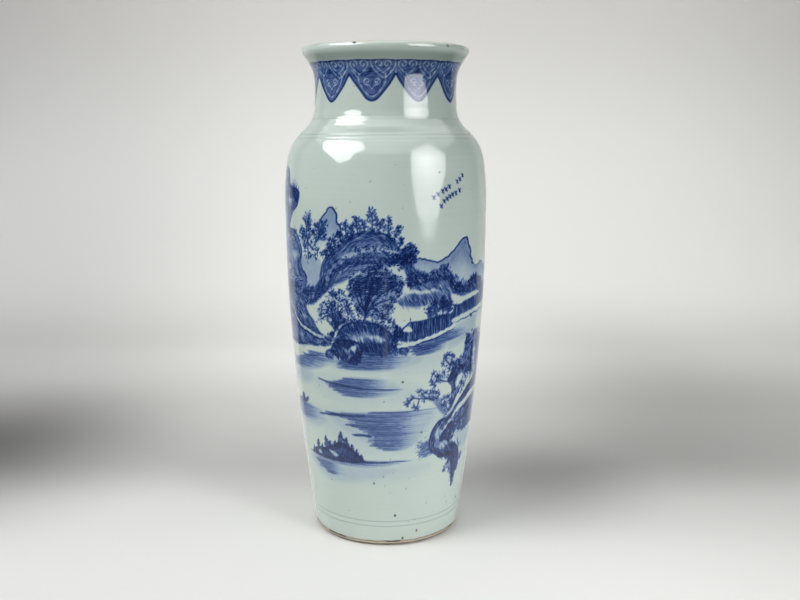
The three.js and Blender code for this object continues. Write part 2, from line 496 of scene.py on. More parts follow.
def hatch(paper, points, per_area=0.25, length=8, width=0.8, density=0.8, turn=0.0,
          depth=(0, 99), seed=1, level=None, vary=0.35):
    """Brush lines that follow the outline's edge, turned by an angle in degrees, or all lying
    at one angle (level)."""
    rng = np.random.default_rng(seed)
    outline = curve(points, closed=True)
    size = np.prod(outline.max(0) - outline.min(0))
    p, deep, heading = scatter(rng, outline, int(size * per_area))
    keep = (deep > depth[0]) & (deep < depth[1])
    p, heading = p[keep], heading[keep]
    angle = (heading if level is None else np.radians(level) + 0 * heading) + math.radians(turn)
    angle = angle + rng.normal(0, 0.1, len(p))
    run = length * rng.uniform(0.5, 1.2, len(p))
    shade = density * rng.uniform(1 - vary, 1 + vary, len(p))
    wide = width * rng.uniform(0.6, 1.2, len(p))
    way = np.stack([np.cos(angle), np.sin(angle)], 1)
    p = p - way * (run / 2)[:, None]
    step = way * (run / 4)[:, None]
    for before, after in zip(STROKE_SHAPE[:-1], STROKE_SHAPE[1:]):
        touches(paper.ink, paper, p, p + step, wide * before, wide * after, shade)
        p = p + step


def dabs(paper, places, size, density, rng, lean=90, spread=50):
    """Small pointed dabs, as for leaves and moss."""
    n = len(places)
    angle = np.radians(lean + rng.normal(0, spread, n))
    run = size * 1.3 * rng.uniform(0.6, 1.3, n) / 2
    step = np.stack([np.cos(angle), np.sin(angle)], 1) * run[:, None]
    wide = size * rng.uniform(0.7, 1.2, n)
    shade = density * rng.uniform(0.5, 1.35, n)
    touches(paper.ink, paper, places - step, places + step, wide, wide * 0.5, shade, 0.45)


# %% Trees and leaves
def foliage(paper, points, per_area=0.3, size=1.3, density=0.95, under=0.45, seed=1,
            clump=2.2, ragged=1.6, leaf=0.8, edge=1.0):
    """A leafy crown: a soft wash, then dabs in clumps, ragged at the edge."""
    rng = np.random.default_rng(seed)
    outline = curve(points, closed=True)
    fill(paper, points, under * 0.7, soft=1.6, leaf=leaf)
    size_of = np.prod(outline.max(0) - outline.min(0))
    heads, _, _ = scatter(rng, outline, int(size_of * per_area / 8) + 6)
    places = np.repeat(heads, 4, axis=0) + rng.normal(0, clump / 2, (len(heads) * 4, 2))
    rim = outline[rng.integers(0, len(outline), int(len(outline) * ragged * 0.7))]
    places = np.vstack([places, rim + rng.normal(0, edge, rim.shape)])
    dabs(paper, places, size, density, rng, spread=60)


def sapling(paper, foot, height, lean=90, seed=1, width=1.2, density=0.95, reach=0.42):
    """A small tree: a bent stem with short branches on both sides, each ending in dabs."""
    rng = np.random.default_rng(seed)
    foot = np.array(foot, float)
    up = np.array([math.cos(math.radians(lean)), math.sin(math.radians(lean))])
    side = np.array([up[1], -up[0]])
    sway = rng.uniform(-0.1, 0.1, 3)
    stem = [foot + up * height * t + side * height * sway[k] * t for k, t in enumerate((0.33, 0.66, 1))]
    stem = curve([foot, *stem])
    line(paper, stem[::3], width, density, ends=(1, 0.3), soft=0.45)
    places = []
    for t in np.linspace(0.28, 1.0, max(5, int(height / 2))):
        base = stem[min(len(stem) - 1, int(t * (len(stem) - 1)))]
        for hand in (-1, 1):
            if rng.random() < 0.15:
                continue
            a = math.radians(lean - hand * rng.uniform(25, 65))
            run = height * reach * (1.15 - 0.75 * t) * rng.uniform(0.5, 1.2)
            tip = base + run * np.array([math.cos(a), math.sin(a)])
            touches(paper.ink, paper, base, tip, 0.7, 0.5, density, 0.4)
            places.append(tip + rng.normal(0, 0.8, (3, 2)))
            places.append((base + tip) / 2 + rng.normal(0, 0.8, (1, 2)))
    places.append(stem[-1] + rng.normal(0, 0.7, (3, 2)))
    dabs(paper, np.vstack(places), 1.0, density * 1.05, rng, lean=lean, spread=45)


def sprig(paper, x, z, lean, size=3.9, count=6, seed=1):
    """Leaves at the end of a branch: short bowed touches that spread like fingers."""
    rng = np.random.default_rng(seed)
    for k in range(count):
        a = math.radians(lean + (k - (count - 1) / 2) * 38 + rng.normal(0, 8))
        run = size * rng.uniform(0.7, 1.15)
        mid = (x + run * 0.6 * math.cos(a + 0.25), z + run * 0.6 * math.sin(a + 0.25))
        tip = (x + run * math.cos(a), z + run * math.sin(a))
        line(paper, [(x, z), mid, tip], 0.8, 1.0, ends=(0.7, 0.4), soft=0.35)


def pine(paper, x, z, height, width, seed=1):
    """A far pine: an upright touch with short dabs that spread towards its foot."""
    rng = np.random.default_rng(seed)
    line(
        paper, [(x, z), (x + 0.2, z + height * 0.6), (x, z + height)], 1.2, 1.0, ends=(1, 0.4),
        soft=0.4,
    )
    t = np.repeat(np.linspace(0, 0.9, round(height)), 4)
    side = rng.uniform(-1, 1, len(t)) * width * (1 - 0.85 * t)
    places = np.stack([x + side, z + t * height + rng.normal(0, 0.5, len(t))], 1)
    dabs(paper, places, 1.5, 0.95, rng, lean=80, spread=35)


# %% Water, fences and geese
def water(paper, rows, seed, gap, density, ragged, fade, slope, under):
    """Still water: level strokes with ragged dark beginnings, that thin out to the right. rows
    are (height, left end, right end) from top to bottom."""
    rng = np.random.default_rng(seed)
    heights, lefts, rights = (np.array(c, float)[::-1] for c in zip(*rows))
    parts, tip = 14, 1.2
    a, b, shade, wide = [], [], [], []
    for z in np.arange(heights[0], heights[-1] + 0.01, gap):
        x0 = np.interp(z, heights, lefts) + rng.uniform(-0.2, 1) * ragged
        x1 = np.interp(z, heights, rights) + rng.uniform(-1, 0.5) * ragged
        if x1 - x0 < 8:
            continue
        z = z + rng.normal(0, gap * 0.1)
        cuts = np.linspace(x0, x1, parts + 1)
        t = (np.arange(parts) + 0.5) / parts
        wave = rng.normal(0, 0.15, parts + 1)
        strength = rng.choice([0.62, 0.85, 1.0, 1.2])
        lift = slope * (cuts - lefts.min())
        a += [*zip(cuts[:-1], z + lift[:-1] + wave[:-1])]
        b += [*zip(cuts[1:], z + lift[1:] + wave[1:])]
        thins = 1 - fade * smooth(0.35, 1.0, t)
        shade += [*(density * strength * thins * (1 + (tip - 1) * smooth(0.16, 0.0, t)))]
        narrows = 1 - 0.45 * smooth(0.5, 1.0, t)
        wide += [*(gap * 0.76 * narrows * (0.7 + 0.3 * smooth(0, 0.15, t)))]
    touches(paper.ink, paper, a, b, wide, wide, shade, 0.7)
    left, right = lefts.min(), rights.max()
    pad = ragged * 0.6
    edge = [(x + pad, z + slope * (x - left)) for z, x, _ in rows]
    edge += [(x + 2, z + slope * (x - left)) for z, _, x in rows[::-1]]
    fill(paper, edge, under, soft=2.2, hair=0.5, comb=math.degrees(math.atan(slope)),
         fade=lambda X, Z: 1 - 0.7 * smooth(left + 0.55 * (right - left), right, X))


def bars(paper, top, bottom, gap=1.1, width=0.9, density=0.95, seed=1):
    """Upright strokes between two lines, as in a fence or a reed wall."""
    rng = np.random.default_rng(seed)
    top, bottom = np.array(top, float), np.array(bottom, float)
    xs = np.arange(top[0, 0], top[-1, 0], gap)
    xs = xs + rng.normal(0, gap * 0.2, len(xs))
    z1 = np.interp(xs, top[:, 0], top[:, 1]) + rng.normal(0, 0.4, len(xs))
    z0 = np.interp(xs, bottom[:, 0], bottom[:, 1]) + rng.normal(0, 0.8, len(xs))
    shade = density * rng.choice([0.25, 0.75, 1.0, 1.1], len(xs), p=[0.12, 0.23, 0.4, 0.25])
    touches(
        paper.ink, paper, np.stack([xs + 0.4, z1], 1), np.stack([xs, z0], 1), width, width * 0.6,
        shade, 0.45,
    )


def geese(paper, flight):
    """A skein of geese, each a wing stroke crossed by a body stroke."""
    span = 2.0
    for x, z in flight:
        wing = [(x - span, z + span), (x - 0.2, z + 0.1), (x + span * 0.55, z - span)]
        body = [(x - span * 0.5, z - span * 0.6), (x, z), (x + span * 0.5, z + span)]
        line(paper, wing, 0.95, 1.4, soft=0.35)
        line(paper, body, 1.0, 1.4, soft=0.35)

# %% [markdown]
# ## The side that the camera doesn't see
# The photo doesn't show the other side. Such scenes run all the way round, so the same motifs go
# on: the crag becomes a wooded mountain, with a pavilion at its foot, far peaks, an open river
# with a sail, and the bank with the old tree runs out in a spit. It is painted first, because
# the front's motifs reach over its edges. Places are (millimetres round the vase from the front,
# height).

# %% Rocks, pavilions and sails
wall = Paper(radius=90, low=3, high=360, cell=0.45)


def report():
    """Say how much of the wall carries cobalt by now."""
    share = np.mean((wall.wash > 0.1) | (wall.ink > 0.1))
    print(f"cobalt on {share:.1%} of the wall")


def rock(paper, outline, comb, seed, wash=0.5):
    """A mass that hides what lies behind it: hairy wash, edge strokes and a loaded outline."""
    wipe(paper, outline, 1, 0.6)
    fill(paper, outline, wash, soft=0.8, hair=1, comb=comb)
    hatch(paper, outline, 0.14, 10, 0.9, 0.95, turn=-20, depth=(0, 7), seed=seed)
    line(paper, [*outline, outline[0]], 1.3, 0.95, ends=(0.8, 0.8))


def hollows(paper, places):
    """Pale hollows in a rock, each (x, z, reach), wiped with a soft edge."""
    for x, z, r in places:
        wipe(paper, [(x - r, z), (x, z + r * 0.7), (x + r, z + 1), (x, z - r * 0.8)], 0.6, 3.0)


def pavilion(paper, x, z, size=1):
    """A small open house: a swept roof on posts, with a rail."""
    roof = [(-13, 12), (-8, 14), (-4, 18), (0, 20), (4, 18), (8, 14), (13, 12)]
    places = [(x + u * size, z + v * size) for u, v in roof]
    wipe(paper, [(x - 11 * size, z), (x + 11 * size, z), *places[::-1]], 1, 0.6)
    fill(paper, [*places, (x, z + 13 * size)], 0.6, soft=0.5, sharp=True, hair=0.8, comb=70)
    line(paper, places, 1.3, 1.05, ends=(0.8, 0.8))
    for u in (-9, -3, 3, 9):
        line(paper, [(x + u * size, z), (x + u * size, z + 12 * size)], 0.9, 1, ends=(1, 1))
    rail = [(x - 9 * size, z + 4 * size), (x + 9 * size, z + 4 * size)]
    floor = [(x - 9 * size, z), (x + 9 * size, z)]
    bars(paper, rail, floor, 1.8, 0.7, 0.8, seed=3)


def sail(paper, x, z, size=1):
    """A far junk: a battened sail over a dark hull."""
    cloth = [(0, 2), (9, 3), (8, 15), (2, 17)]
    fill(paper, [(x + u * size, z + v * size) for u, v in cloth], 0.35, soft=0.5)
    for v in (4, 7, 10, 13, 16):
        line(paper, [(x, z + v * size), (x + 9 * size, z + (v + 0.6) * size)], 0.7, 0.8)
    hull = [(-5, 1.5), (4, 0), (13, 1.6)]
    line(paper, [(x + u * size, z + v * size) for u, v in hull], 1.8, 1)


print("wall:", wall.columns, "by", wall.rows, "cells")

# %% Far peaks behind
far = [(190, 246), (200, 258), (208, 272), (214, 280), (222, 274), (230, 262), (242, 256), (256, 266),
       (264, 268), (274, 258), (290, 250)]
fill(wall, [*far, (290, 240), (240, 238), (190, 240)],
     0.5, soft=0.5, hair=0.3, comb=65, fade=lambda X, Z: 0.3 + 0.7 * smooth(242, 264, Z))
line(wall, far, 1.1, 0.95, ends=(0.3, 0.4))
geese(wall, [(232 + 4 * k, 318 + 1.5 * k + (k % 2)) for k in range(6)])
report()

# %% A wooded mountain
mountain = [
    (434, 350), (420, 356), (404, 352), (392, 346), (380, 330), (370, 322), (358, 316), (350, 300),
    (338, 292), (326, 276), (316, 262), (306, 246), (310, 236), (350, 232), (434, 236), (442, 290),
]
rock(wall, mountain, None, 201)
hollows(wall, [(398, 322, 8), (376, 300, 8), (402, 284, 9), (352, 276, 7), (380, 262, 8), (332, 256, 6)])
climbing_trees = [
    (392, 345), (384, 335), (376, 326), (362, 317), (354, 306), (346, 296), (334, 286), (326, 276),
    (318, 264),
]
for k, (x, z) in enumerate(climbing_trees):
    sapling(wall, (x, z), 12 + 4 * (k % 3), 96 + 6 * (k % 2), seed=210 + k, width=1.1, reach=0.38)
mist = [(306, 250), (330, 256), (360, 262), (396, 258), (426, 262), (426, 254), (380, 250), (340, 246),
        (308, 244)]
wipe(wall, mist, 0.9, 2.5)
report()

# %% Its terrace, with two pavilions
terrace = [(300, 236), (316, 242), (340, 240), (366, 243), (392, 240), (428, 240), (434, 210), (410, 203),
           (390, 204), (360, 207), (330, 204), (306, 208), (296, 220)]
rock(wall, terrace, 120, 202, 0.45)
foliage(wall, [
    (300, 232), (312, 244), (330, 246), (350, 244), (344, 234), (318, 230),
], 0.6, 1.3, 1, 0.4, seed=231)
foliage(wall, [
    (366, 240), (376, 256), (394, 260), (408, 250), (404, 238), (384, 234),
], 0.6, 1.3, 1, 0.5, seed=232)
line(wall, [(386, 214), (387, 232), (384, 250)], 1.9, 1.05, ends=(1, 0.2))
pavilion(wall, 338, 209)
pavilion(wall, 360, 213, 0.8)
report()

# %% The spit and the meadow
spit = [(132, 156), (150, 156), (170, 150), (188, 140), (200, 128), (192, 120), (172, 116), (150, 112),
        (132, 116)]
rock(wall, spit, 35, 203)
spare(wall, [(134, 136), (150, 138), (168, 134), (184, 128)], 2.4, 0.85, 1.2)
for k, (x, z) in enumerate(((148, 155), (158, 153), (168, 149), (178, 144))):
    sapling(wall, (x, z), 20 - 3 * k, 100 - 14 * k, seed=240 + k, width=1.3)
meadow = [(132, 244), (160, 244), (186, 238), (206, 230), (214, 222), (190, 220), (160, 222), (132, 228)]
rock(wall, meadow, 120, 204, 0.45)
foliage(wall, [
    (136, 240), (150, 252), (170, 250), (188, 242), (180, 234), (150, 234),
], 0.5, 1.3, 1, 0.5, seed=233)
spare(wall, [(132, 224), (160, 221.5), (190, 219), (216, 221)], 2.6, 1, 0.8)
report()

# %% Sails, open water and an island
sail(wall, 252, 205)
sail(wall, 270, 211, 0.7)
boat = [(226, 158), (236, 155), (250, 155), (262, 159), (255, 153.5), (234, 153)]
fill(wall, boat, 0.95, soft=0.6)
line(wall, [(244, 156), (245, 163), (242, 166)], 1.4, 1)
line(wall, [(244, 163), (254, 168), (260, 160)], 0.7, 0.9)
reaches = [
    [(198, 296, 352), (192, 280, 372), (186, 300, 366)],
    [(206, 146, 196), (200, 138, 210), (194, 150, 190)],
    [(178, 330, 404), (172, 318, 396), (166, 340, 384)],
    [(150, 214, 270), (146, 206, 284), (140, 222, 262)],
    [(128, 300, 380), (122, 288, 392), (114, 306, 376), (106, 322, 360)],
    [(116, 196, 236), (110, 180, 248), (104, 196, 230)], [(84, 226, 300), (78, 216, 310), (72, 236, 288)],
    [(92, 132, 170), (86, 124, 182), (80, 140, 166)],
]
for k, rows in enumerate(reaches):
    water(wall, rows, 250 + k, 1.9, 0.58, 8, 0.65, 0, 0.45)
    line(wall, [(rows[1][1] - 6, rows[1][0]), (rows[1][1] + 16, rows[1][0] + 1)], 1.5, 0.95)
island = [(244, 86), (250, 94), (256, 100), (262, 96), (268, 106), (274, 113), (279, 104), (286, 100),
          (292, 92), (298, 86), (270, 84)]
rock(wall, island, 90, 205, 0.6)
for k, x in enumerate((254, 262, 271, 280, 288)):
    sapling(wall, (x, 94 + 4 * (k % 2)), 13 + 3 * (k % 3), 90, seed=260 + k, width=1.1)
report()

# %% [markdown]
# ## The side that the camera sees
# The scene is the usual one for such vases: far peaks, a wooded hill over a river, houses behind
# a reed fence, and an old tree on an overhanging bank. What is nearer is painted later.

# %% [markdown]
# Far peaks are a pale wash under a darker, broken outline. Over them flies a skein of geese.

# %% Far peaks and geese
rng = np.random.default_rng(11)
left_peak = [
    (-62, 284), (-58, 299), (-52, 307), (-48, 312), (-45, 313), (-41, 308), (-40, 300), (-37, 296),
    (-38, 288), (-48, 283),
]
left_peak = [*craggy(left_peak[:9], 1, 0.5), left_peak[9]]
fill(wall, left_peak, 0.42, soft=0.5, hair=0.3, comb=70,
     fade=lambda X, Z: 0.45 + 0.55 * smooth(284, 300, Z))
summit = max(range(len(left_peak)), key=lambda i: left_peak[i][1])
line(wall, left_peak[4:summit + 1], 0.95, 1.25, ends=(0.2, 0.8), steps=3)
line(wall, left_peak[summit:-2], 1.3, 1.4, ends=(0.8, 0.2), steps=3)
right_peak = [
    (22, 270), (30, 270), (38, 268), (44, 266), (50, 267), (58, 271), (64, 276), (70, 282), (75, 285),
    (79, 285), (81, 279), (84, 275), (85, 268), (89, 261), (93, 258), (100, 259), (106, 261), (113, 258),
    (124, 254), (140, 258), (156, 262), (172, 256),
]
base = [(172, 240), (128, 240), (100, 243), (80, 245), (66, 247), (50, 250), (30, 254), (22, 258)]
far_ridge = [*craggy(right_peak[:10], 2, 0.6), *craggy(right_peak[10:], 3, 0.7)]
fill(wall, far_ridge + base, 0.5, soft=0.5, hair=0.3, comb=60,
     fade=lambda X, Z: 0.38 + 0.62 * smooth(4, 26, Z - np.interp(X, [20, 60, 75, 95, 128],
                                                                 [250, 246, 250, 238, 236])))
line(wall, craggy(right_peak[:10], 2, 0.6), 1.1, 1.2, ends=(0.4, 0.9), steps=3)
line(wall, craggy(right_peak[9:15], 4, 0.9), 1.5, 1.4, ends=(0.9, 0.3), steps=3)
line(wall, craggy(right_peak[14:], 5, 0.6), 0.9, 0.9, ends=(0.3, 0.2), steps=3)
geese(wall, [(42, 321), (46, 323.5), (50.5, 326), (54, 327.5), (57.5, 329.5)])
geese(wall, [(49, 313.5), (52, 317.5), (55, 319.5), (58, 321.3), (61, 322.8), (64.5, 324), (69, 326)])
geese(wall, [(66.5, 333.5), (70, 335.5), (73.5, 338.5)])
report()

# %% [markdown]
# A crag hides the edge of the hill. Its mass is a hairy wash, its edges are short strokes
# that follow the outline, and its hollows are wiped pale again.

# %% The crag at the left
crag = [
    (-128, 352), (-122, 346), (-108, 341), (-103, 330), (-96, 327), (-88, 326), (-84, 322), (-88, 312),
    (-96, 306), (-103, 297), (-105, 291), (-96, 290), (-90, 287), (-84, 279), (-82, 271), (-84, 263),
    (-82, 256), (-77, 252), (-76, 246), (-80, 241), (-92, 238), (-116, 236), (-140, 238), (-134, 252),
    (-143, 268), (-135, 284), (-141, 302), (-131, 318), (-137, 334),
]
wipe(wall, crag, 1, 0.6)
fill(wall, crag, 0.54, soft=0.8, hair=0.9)
hatch(wall, crag, 0.18, 9, 0.8, 0.62, turn=-8, depth=(0, 6), seed=3)
hatch(wall, crag, 0.05, 9, 0.8, 0.55, turn=20, depth=(5, 40), seed=4)
line(wall, crag[1:9], 1.5, 1)
line(wall, crag[8:20], 1.4, 1)
line(wall, crag[22:], 1.3, 0.9)
hollows(wall, [
    (-104, 316, 5), (-94, 268, 6), (-112, 283, 5), (-112, 255, 5), (-124, 300, 6), (-128, 330, 5),
])
for k in range(16):
    x, z = -101 + 1.05 * k, 328 - 0.07 * (k - 5) ** 2
    line(wall, [(x - 2, z - 9), (x, z - 2), (x + 1.5, z + 1.5 + 2.5 * (k % 3))],
         0.95, 0.95, ends=(0.9, 0.3))
dabs(wall, np.array([(-94, 291), (-91, 290)]), 2.2, 1, rng)
report()

# %% [markdown]
# Between crag and hill a pale bluff falls to the water, with tall thin trees in front.

# %% A pale bluff and its trees
bluff = [(-83, 268), (-60, 268), (-58, 260), (-60, 250), (-64, 241), (-74, 238), (-80, 241), (-76, 247),
         (-81, 255), (-84, 262)]
fill(wall, bluff, 0.3, soft=0.8, hair=0.3, comb=90)
foliage(wall, [
    (-82, 284), (-77, 292), (-73, 301), (-68, 300), (-62, 297), (-56, 293), (-53, 288), (-54, 282),
    (-59, 277), (-62, 270), (-68, 268), (-76, 269), (-78, 276),
], 0.55, 1.15, 0.95, under=0, seed=5, clump=2.6, leaf=0.4, edge=1.4, ragged=0.9)
sapling(wall, (-72, 267), 37, 92, seed=2, width=1.3, reach=0.34)
sapling(wall, (-61, 270), 29, 80, seed=3, width=1.1, reach=0.4)
sapling(wall, (-77, 272), 20, 104, seed=33, width=1)
wipe(wall, [(-62, 281), (-58, 284), (-53, 283), (-52, 279), (-57, 277), (-61, 278)], 0.85, 1)
wipe(wall, [(-85, 280), (-82, 283), (-79, 281), (-81, 277)], 0.7, 1)
foliage(wall, [
    (-57, 272), (-50, 279), (-46, 287), (-38, 291), (-34, 285), (-42, 277), (-50, 271),
], 0.6, 1.3, 0.95, 0.3, seed=8)
report()

# %% [markdown]
# The great hill is built from ridges, hatched along their backs, with mist between them. Mist
# is what the brush leaves out, so it is wiped away after the ridges are laid.

# %% The great hill
hill = [
    (-66, 238), (-60, 250), (-57, 262), (-52, 270), (-42, 279), (-30, 289), (-16, 294), (-2, 293),
    (8, 287), (13, 279), (20, 281), (26, 274), (25, 264), (32, 256), (24, 250), (0, 240), (-30, 236),
    (-50, 234),
]
fill(wall, hill, 0.58, soft=0.8, hair=0.85)
hatch(wall, hill, 0.2, 12, 0.7, 0.68, depth=(0.5, 9), seed=6)
hatch(wall, hill, 0.07, 12, 0.7, 0.6, turn=6, depth=(8, 30), seed=7)
mist = [(-40, 271), (-30, 275), (-18, 279), (-6, 281), (6, 279), (14, 277), (12, 273), (2, 274),
        (-10, 276), (-22, 273), (-34, 267)]
wipe(wall, mist, 0.7, 2.4)
foliage(wall, mist, 0.28, 1.2, 0.95, 0, seed=9, clump=3, leaf=0.3)
ridge = [(-64, 236), (-54, 250), (-46, 262), (-36, 268), (-22, 271), (-8, 273), (6, 272), (18, 270),
         (24, 262), (22, 250), (8, 248), (-12, 248), (-30, 244), (-50, 232)]
hatch(wall, ridge, 0.24, 11, 0.75, 0.75, depth=(0, 7), seed=10)
hatch(wall, [(-56, 262), (-46, 270), (-38, 268), (-40, 256), (-50, 242), (-60, 238), (-60, 250)],
      0.2, 12, 0.7, 0.75, level=62, seed=12)
for k in range(4):
    line(wall, [
        (-58 + 3 * k, 244 + k), (-54 + 3 * k, 256 + k), (-46 + 3 * k, 265 + k * 0.8), (-36 + 3 * k, 270),
    ], 0.9, 1)
spare(wall, [(-52, 246), (-49, 256), (-42, 264), (-34, 268)], 3.0, 0.55, 2.0)
spare(wall, [(-56, 250), (-51, 261), (-42, 268.5)], 1.2, 0.4, 1)
lower_mist = [
    (-64, 228), (-56, 236), (-46, 244), (-36, 249), (-26, 255), (-18, 261), (-15, 257), (-24, 250),
    (-30, 240), (-36, 232), (-48, 224), (-56, 212), (-62, 203), (-74, 208), (-78, 222), (-70, 226),
]
wipe(wall, lower_mist, 1, 1.4)
wipe(wall, [
    (-4, 263), (4, 263), (12, 266), (17, 259), (20, 250), (24, 243), (16, 240), (12, 248), (8, 254),
], 0.95, 1.4)
joined_foot = [
    (-116, 241), (-96, 240), (-80, 241), (-68, 243), (-60, 241), (-58, 235), (-64, 229), (-72, 226),
    (-84, 227), (-116, 228),
]
fill(wall, joined_foot, 0.6, soft=1.8, hair=0.9, comb=15)
hatch(wall, joined_foot, 0.3, 7, 0.8, 0.85, level=70, seed=18)
foliage(wall, [(-4, 268), (6, 265), (14, 262), (18, 270), (6, 274)], 0.5, 1.3, 1, 0, seed=14, leaf=0.5)
hill_trees = [
    (-32, 287, 14, 96, 21), (-28, 288, 10, 80, 27), (-22, 292, 13, 92, 22), (-10, 293, 18, 90, 23),
    (-5, 292, 11, 78, 28), (4, 289, 15, 92, 24), (8, 286, 12, 70, 29), (-36, 284, 9, 110, 25),
    (-16, 293, 9, 100, 30), (12, 280, 7, 70, 26),
]
for x, z, h, lean, s in hill_trees:
    sapling(wall, (x, z), h, lean, seed=s, width=1.1, density=1, reach=0.36)
foliage(wall, [
    (-40, 281), (-30, 291), (-16, 296), (-2, 295.5), (10, 289), (8, 285), (-2, 291), (-16, 292),
    (-30, 286),
], 0.75, 1.1, 0.95, 0, seed=17, leaf=0.35, clump=1.8)
foliage(wall, [
    (14, 275), (18, 281), (22, 282), (26, 279), (27, 272), (22, 267), (16, 270),
], 0.6, 1.3, 1, 0.5, seed=16)
report()

# %% [markdown]
# To the right the hill runs down in wooded slopes, one behind the other.

# %% Wooded slopes at the right
slope = [
    (20, 254), (26, 258), (38, 256), (50, 262), (58, 258), (64, 250), (72, 245), (84, 243), (94, 248),
    (104, 246), (118, 240), (134, 242), (150, 246), (170, 240), (170, 230), (128, 228), (110, 232),
    (92, 234), (76, 232), (64, 236), (48, 241), (30, 242), (20, 246),
]
fill(wall, slope, 0.58, soft=1.2, hair=0.9, comb=128)
hatch(wall, slope, 0.16, 8, 0.75, 0.7, level=128, seed=31)
foliage(wall, [
    (20, 252), (28, 258), (34, 256), (40, 257), (46, 260), (52, 262), (58, 259), (61, 252), (54, 250),
    (40, 251), (28, 248), (20, 246),
], 0.45, 1.3, 0.9, 0.3, seed=32, leaf=0.5)
foliage(wall, [
    (60, 246), (66, 252), (72, 247), (84, 246), (92, 250), (102, 248), (112, 243), (104, 238), (84, 238),
    (68, 238),
], 0.5, 1.4, 1, 0.6, seed=33, leaf=0.5)
bank = [(12, 234), (20, 240), (34, 239), (48, 241), (60, 238), (62, 230), (54, 224), (44, 229), (28, 228),
        (14, 230)]
fill(wall, bank, 0.5, soft=1.5, hair=1, comb=118)
hatch(wall, bank, 0.2, 9, 0.75, 0.72, level=118, seed=34)
spare(wall, [(16, 241.5), (30, 241), (46, 242.5)], 1.6, 0.7, 1.2)
wipe(wall, [(62, 236), (76, 233), (94, 235), (108, 233), (96, 231), (78, 230), (64, 230)], 0.9, 1)
report()

# %% [markdown]
# Crowns are laid leaf by leaf over a thin wash, with bare trunks showing through.

# %% The great tree and its neighbour
crown = [(-30, 240), (-30, 250), (-22, 256), (-16, 263), (-6, 265), (2, 262), (8, 257), (15, 252),
         (15, 243), (10, 236), (6, 228), (2, 219), (-8, 217), (-14, 221), (-22, 222), (-26, 231)]
foliage(wall, crown, 0.5, 1.25, 0.85, 0.6, seed=41, clump=2.2, leaf=0.62, edge=1.4)
line(wall, [(-16, 204), (-17, 216), (-15, 232), (-11, 246), (-9, 256)], 2.0, 1.05, ends=(1, 0.2))
for x, z in ((-25, 242), (-3, 246), (6, 236), (-21, 252), (8, 248), (-2, 256), (-12, 262)):
    line(wall, [(-16, 222), ((x - 16) / 2 - 2, (z + 226) / 2), (x, z)], 1, 1)
small = [(-62, 214), (-61, 224), (-54, 230), (-50, 238), (-42, 241), (-34, 238), (-30, 228), (-27, 220),
         (-30, 213), (-38, 212), (-46, 208), (-54, 214)]
foliage(wall, small, 0.55, 1.3, 0.95, 0.2, seed=43, clump=2.4, leaf=0.6, edge=1.6)
for lean in (58, 76, 92, 106, 120, 136, 152, 168):
    a = math.radians(lean)
    knee = (-43 + 7 * math.cos(a), 217 + 6 * math.sin(a))
    tip = (-45 + 17 * math.cos(a), 214 + 19 * math.sin(a) - 5 * abs(math.cos(a)))
    line(wall, [(-43, 206), knee, tip], 1.1, 1)
foliage(wall, [
    (-52, 198), (-46, 208), (-36, 214), (-30, 212), (-36, 204), (-44, 198),
], 0.7, 1.3, 1, 0.4, seed=44)
report()

# %% [markdown]
# A bank at the lower left carries a scalloped path, left bare between two strokes.

# %% The shore at the lower left
shore = [
    (-146, 238), (-110, 236), (-92, 236), (-72, 231), (-78, 224), (-75, 217), (-69, 212), (-64, 205),
    (-58, 200), (-50, 199), (-47, 193), (-58, 190), (-76, 188), (-100, 185), (-124, 186), (-142, 192),
    (-152, 206), (-156, 224),
]
wipe(wall, shore, 1, 0.6)
fill(wall, shore, 0.55, soft=1, hair=0.9, comb=140, leaf=0.4)
hatch(wall, shore, 0.12, 7, 0.75, 0.65, level=140, seed=51)
hatch(wall, shore, 0.12, 8, 0.75, 0.7, depth=(0, 4), seed=52)
for x, z, r in ((-82, 214, 4), (-96, 228, 4), (-110, 210, 5), (-90, 196, 4), (-120, 196, 6)):
    wipe(wall, [(x - r, z), (x, z + r * 0.6), (x + r, z), (x, z - r * 0.6)], 0.45, 2.5)
path = [(-150, 226), (-136, 229), (-122, 225), (-106, 219), (-98, 210), (-88, 204), (-78, 202),
        (-68, 199), (-58, 198)]
line(wall, [(x, z - 2.4) for x, z in path], 1.6, 1)
line(wall, [(x + 1, z + 2.4) for x, z in path], 1.2, 0.95)
spare(wall, path, 2.6, 0.8, 0.9)
report()

# %% [markdown]
# The rock dome is the darkest thing on the vase: a loaded outline, strokes that fall from its
# back like wet hair, and a light wiped across its belly.

# %% The rock dome by the water
dome = [(-47, 190), (-44, 200), (-38, 209), (-28, 214), (-14, 214), (-4, 211), (4, 206), (9, 197),
        (9, 189), (0, 187), (-14, 188), (-30, 189)]
wipe(wall, [
    (-48.5, 189), (-46, 201), (-39, 211), (-28, 216), (-14, 216), (-3, 213), (6, 207), (10.5, 197),
    (10.5, 188), (-20, 186),
], 1, 0.5)
fill(wall, dome, 0.5, soft=0.7, hair=0.9, comb=105)
hatch(wall, dome, 0.5, 9, 0.75, 0.95, turn=-68, depth=(0, 8), seed=61)
wipe(wall, [(-30, 198.5), (-18, 202), (-6, 203), (1, 199.5), (-3, 197), (-12, 198), (-22, 196.5)],
     0.82, 1.8)
hatch(wall, [(-28, 188), (-22, 199), (-8, 200), (4, 197), (8, 190), (0, 187)],
      0.34, 7, 0.75, 0.95, level=104, seed=63)
line(wall, [(-26, 187), (-12, 186.6), (0, 186.8), (9, 188)], 1.3, 0.95)
line(wall, [(-44, 200), (-38, 209), (-28, 214), (-14, 214.5), (-4, 211.5), (4, 206), (9, 198), (9, 190)],
     1.8, 1.05)
lump = [(-52, 184), (-46, 194), (-36, 198), (-24, 196), (-20, 190), (-22, 182), (-28, 178), (-36, 180),
        (-44, 182)]
wipe(wall, lump, 1, 0.6)
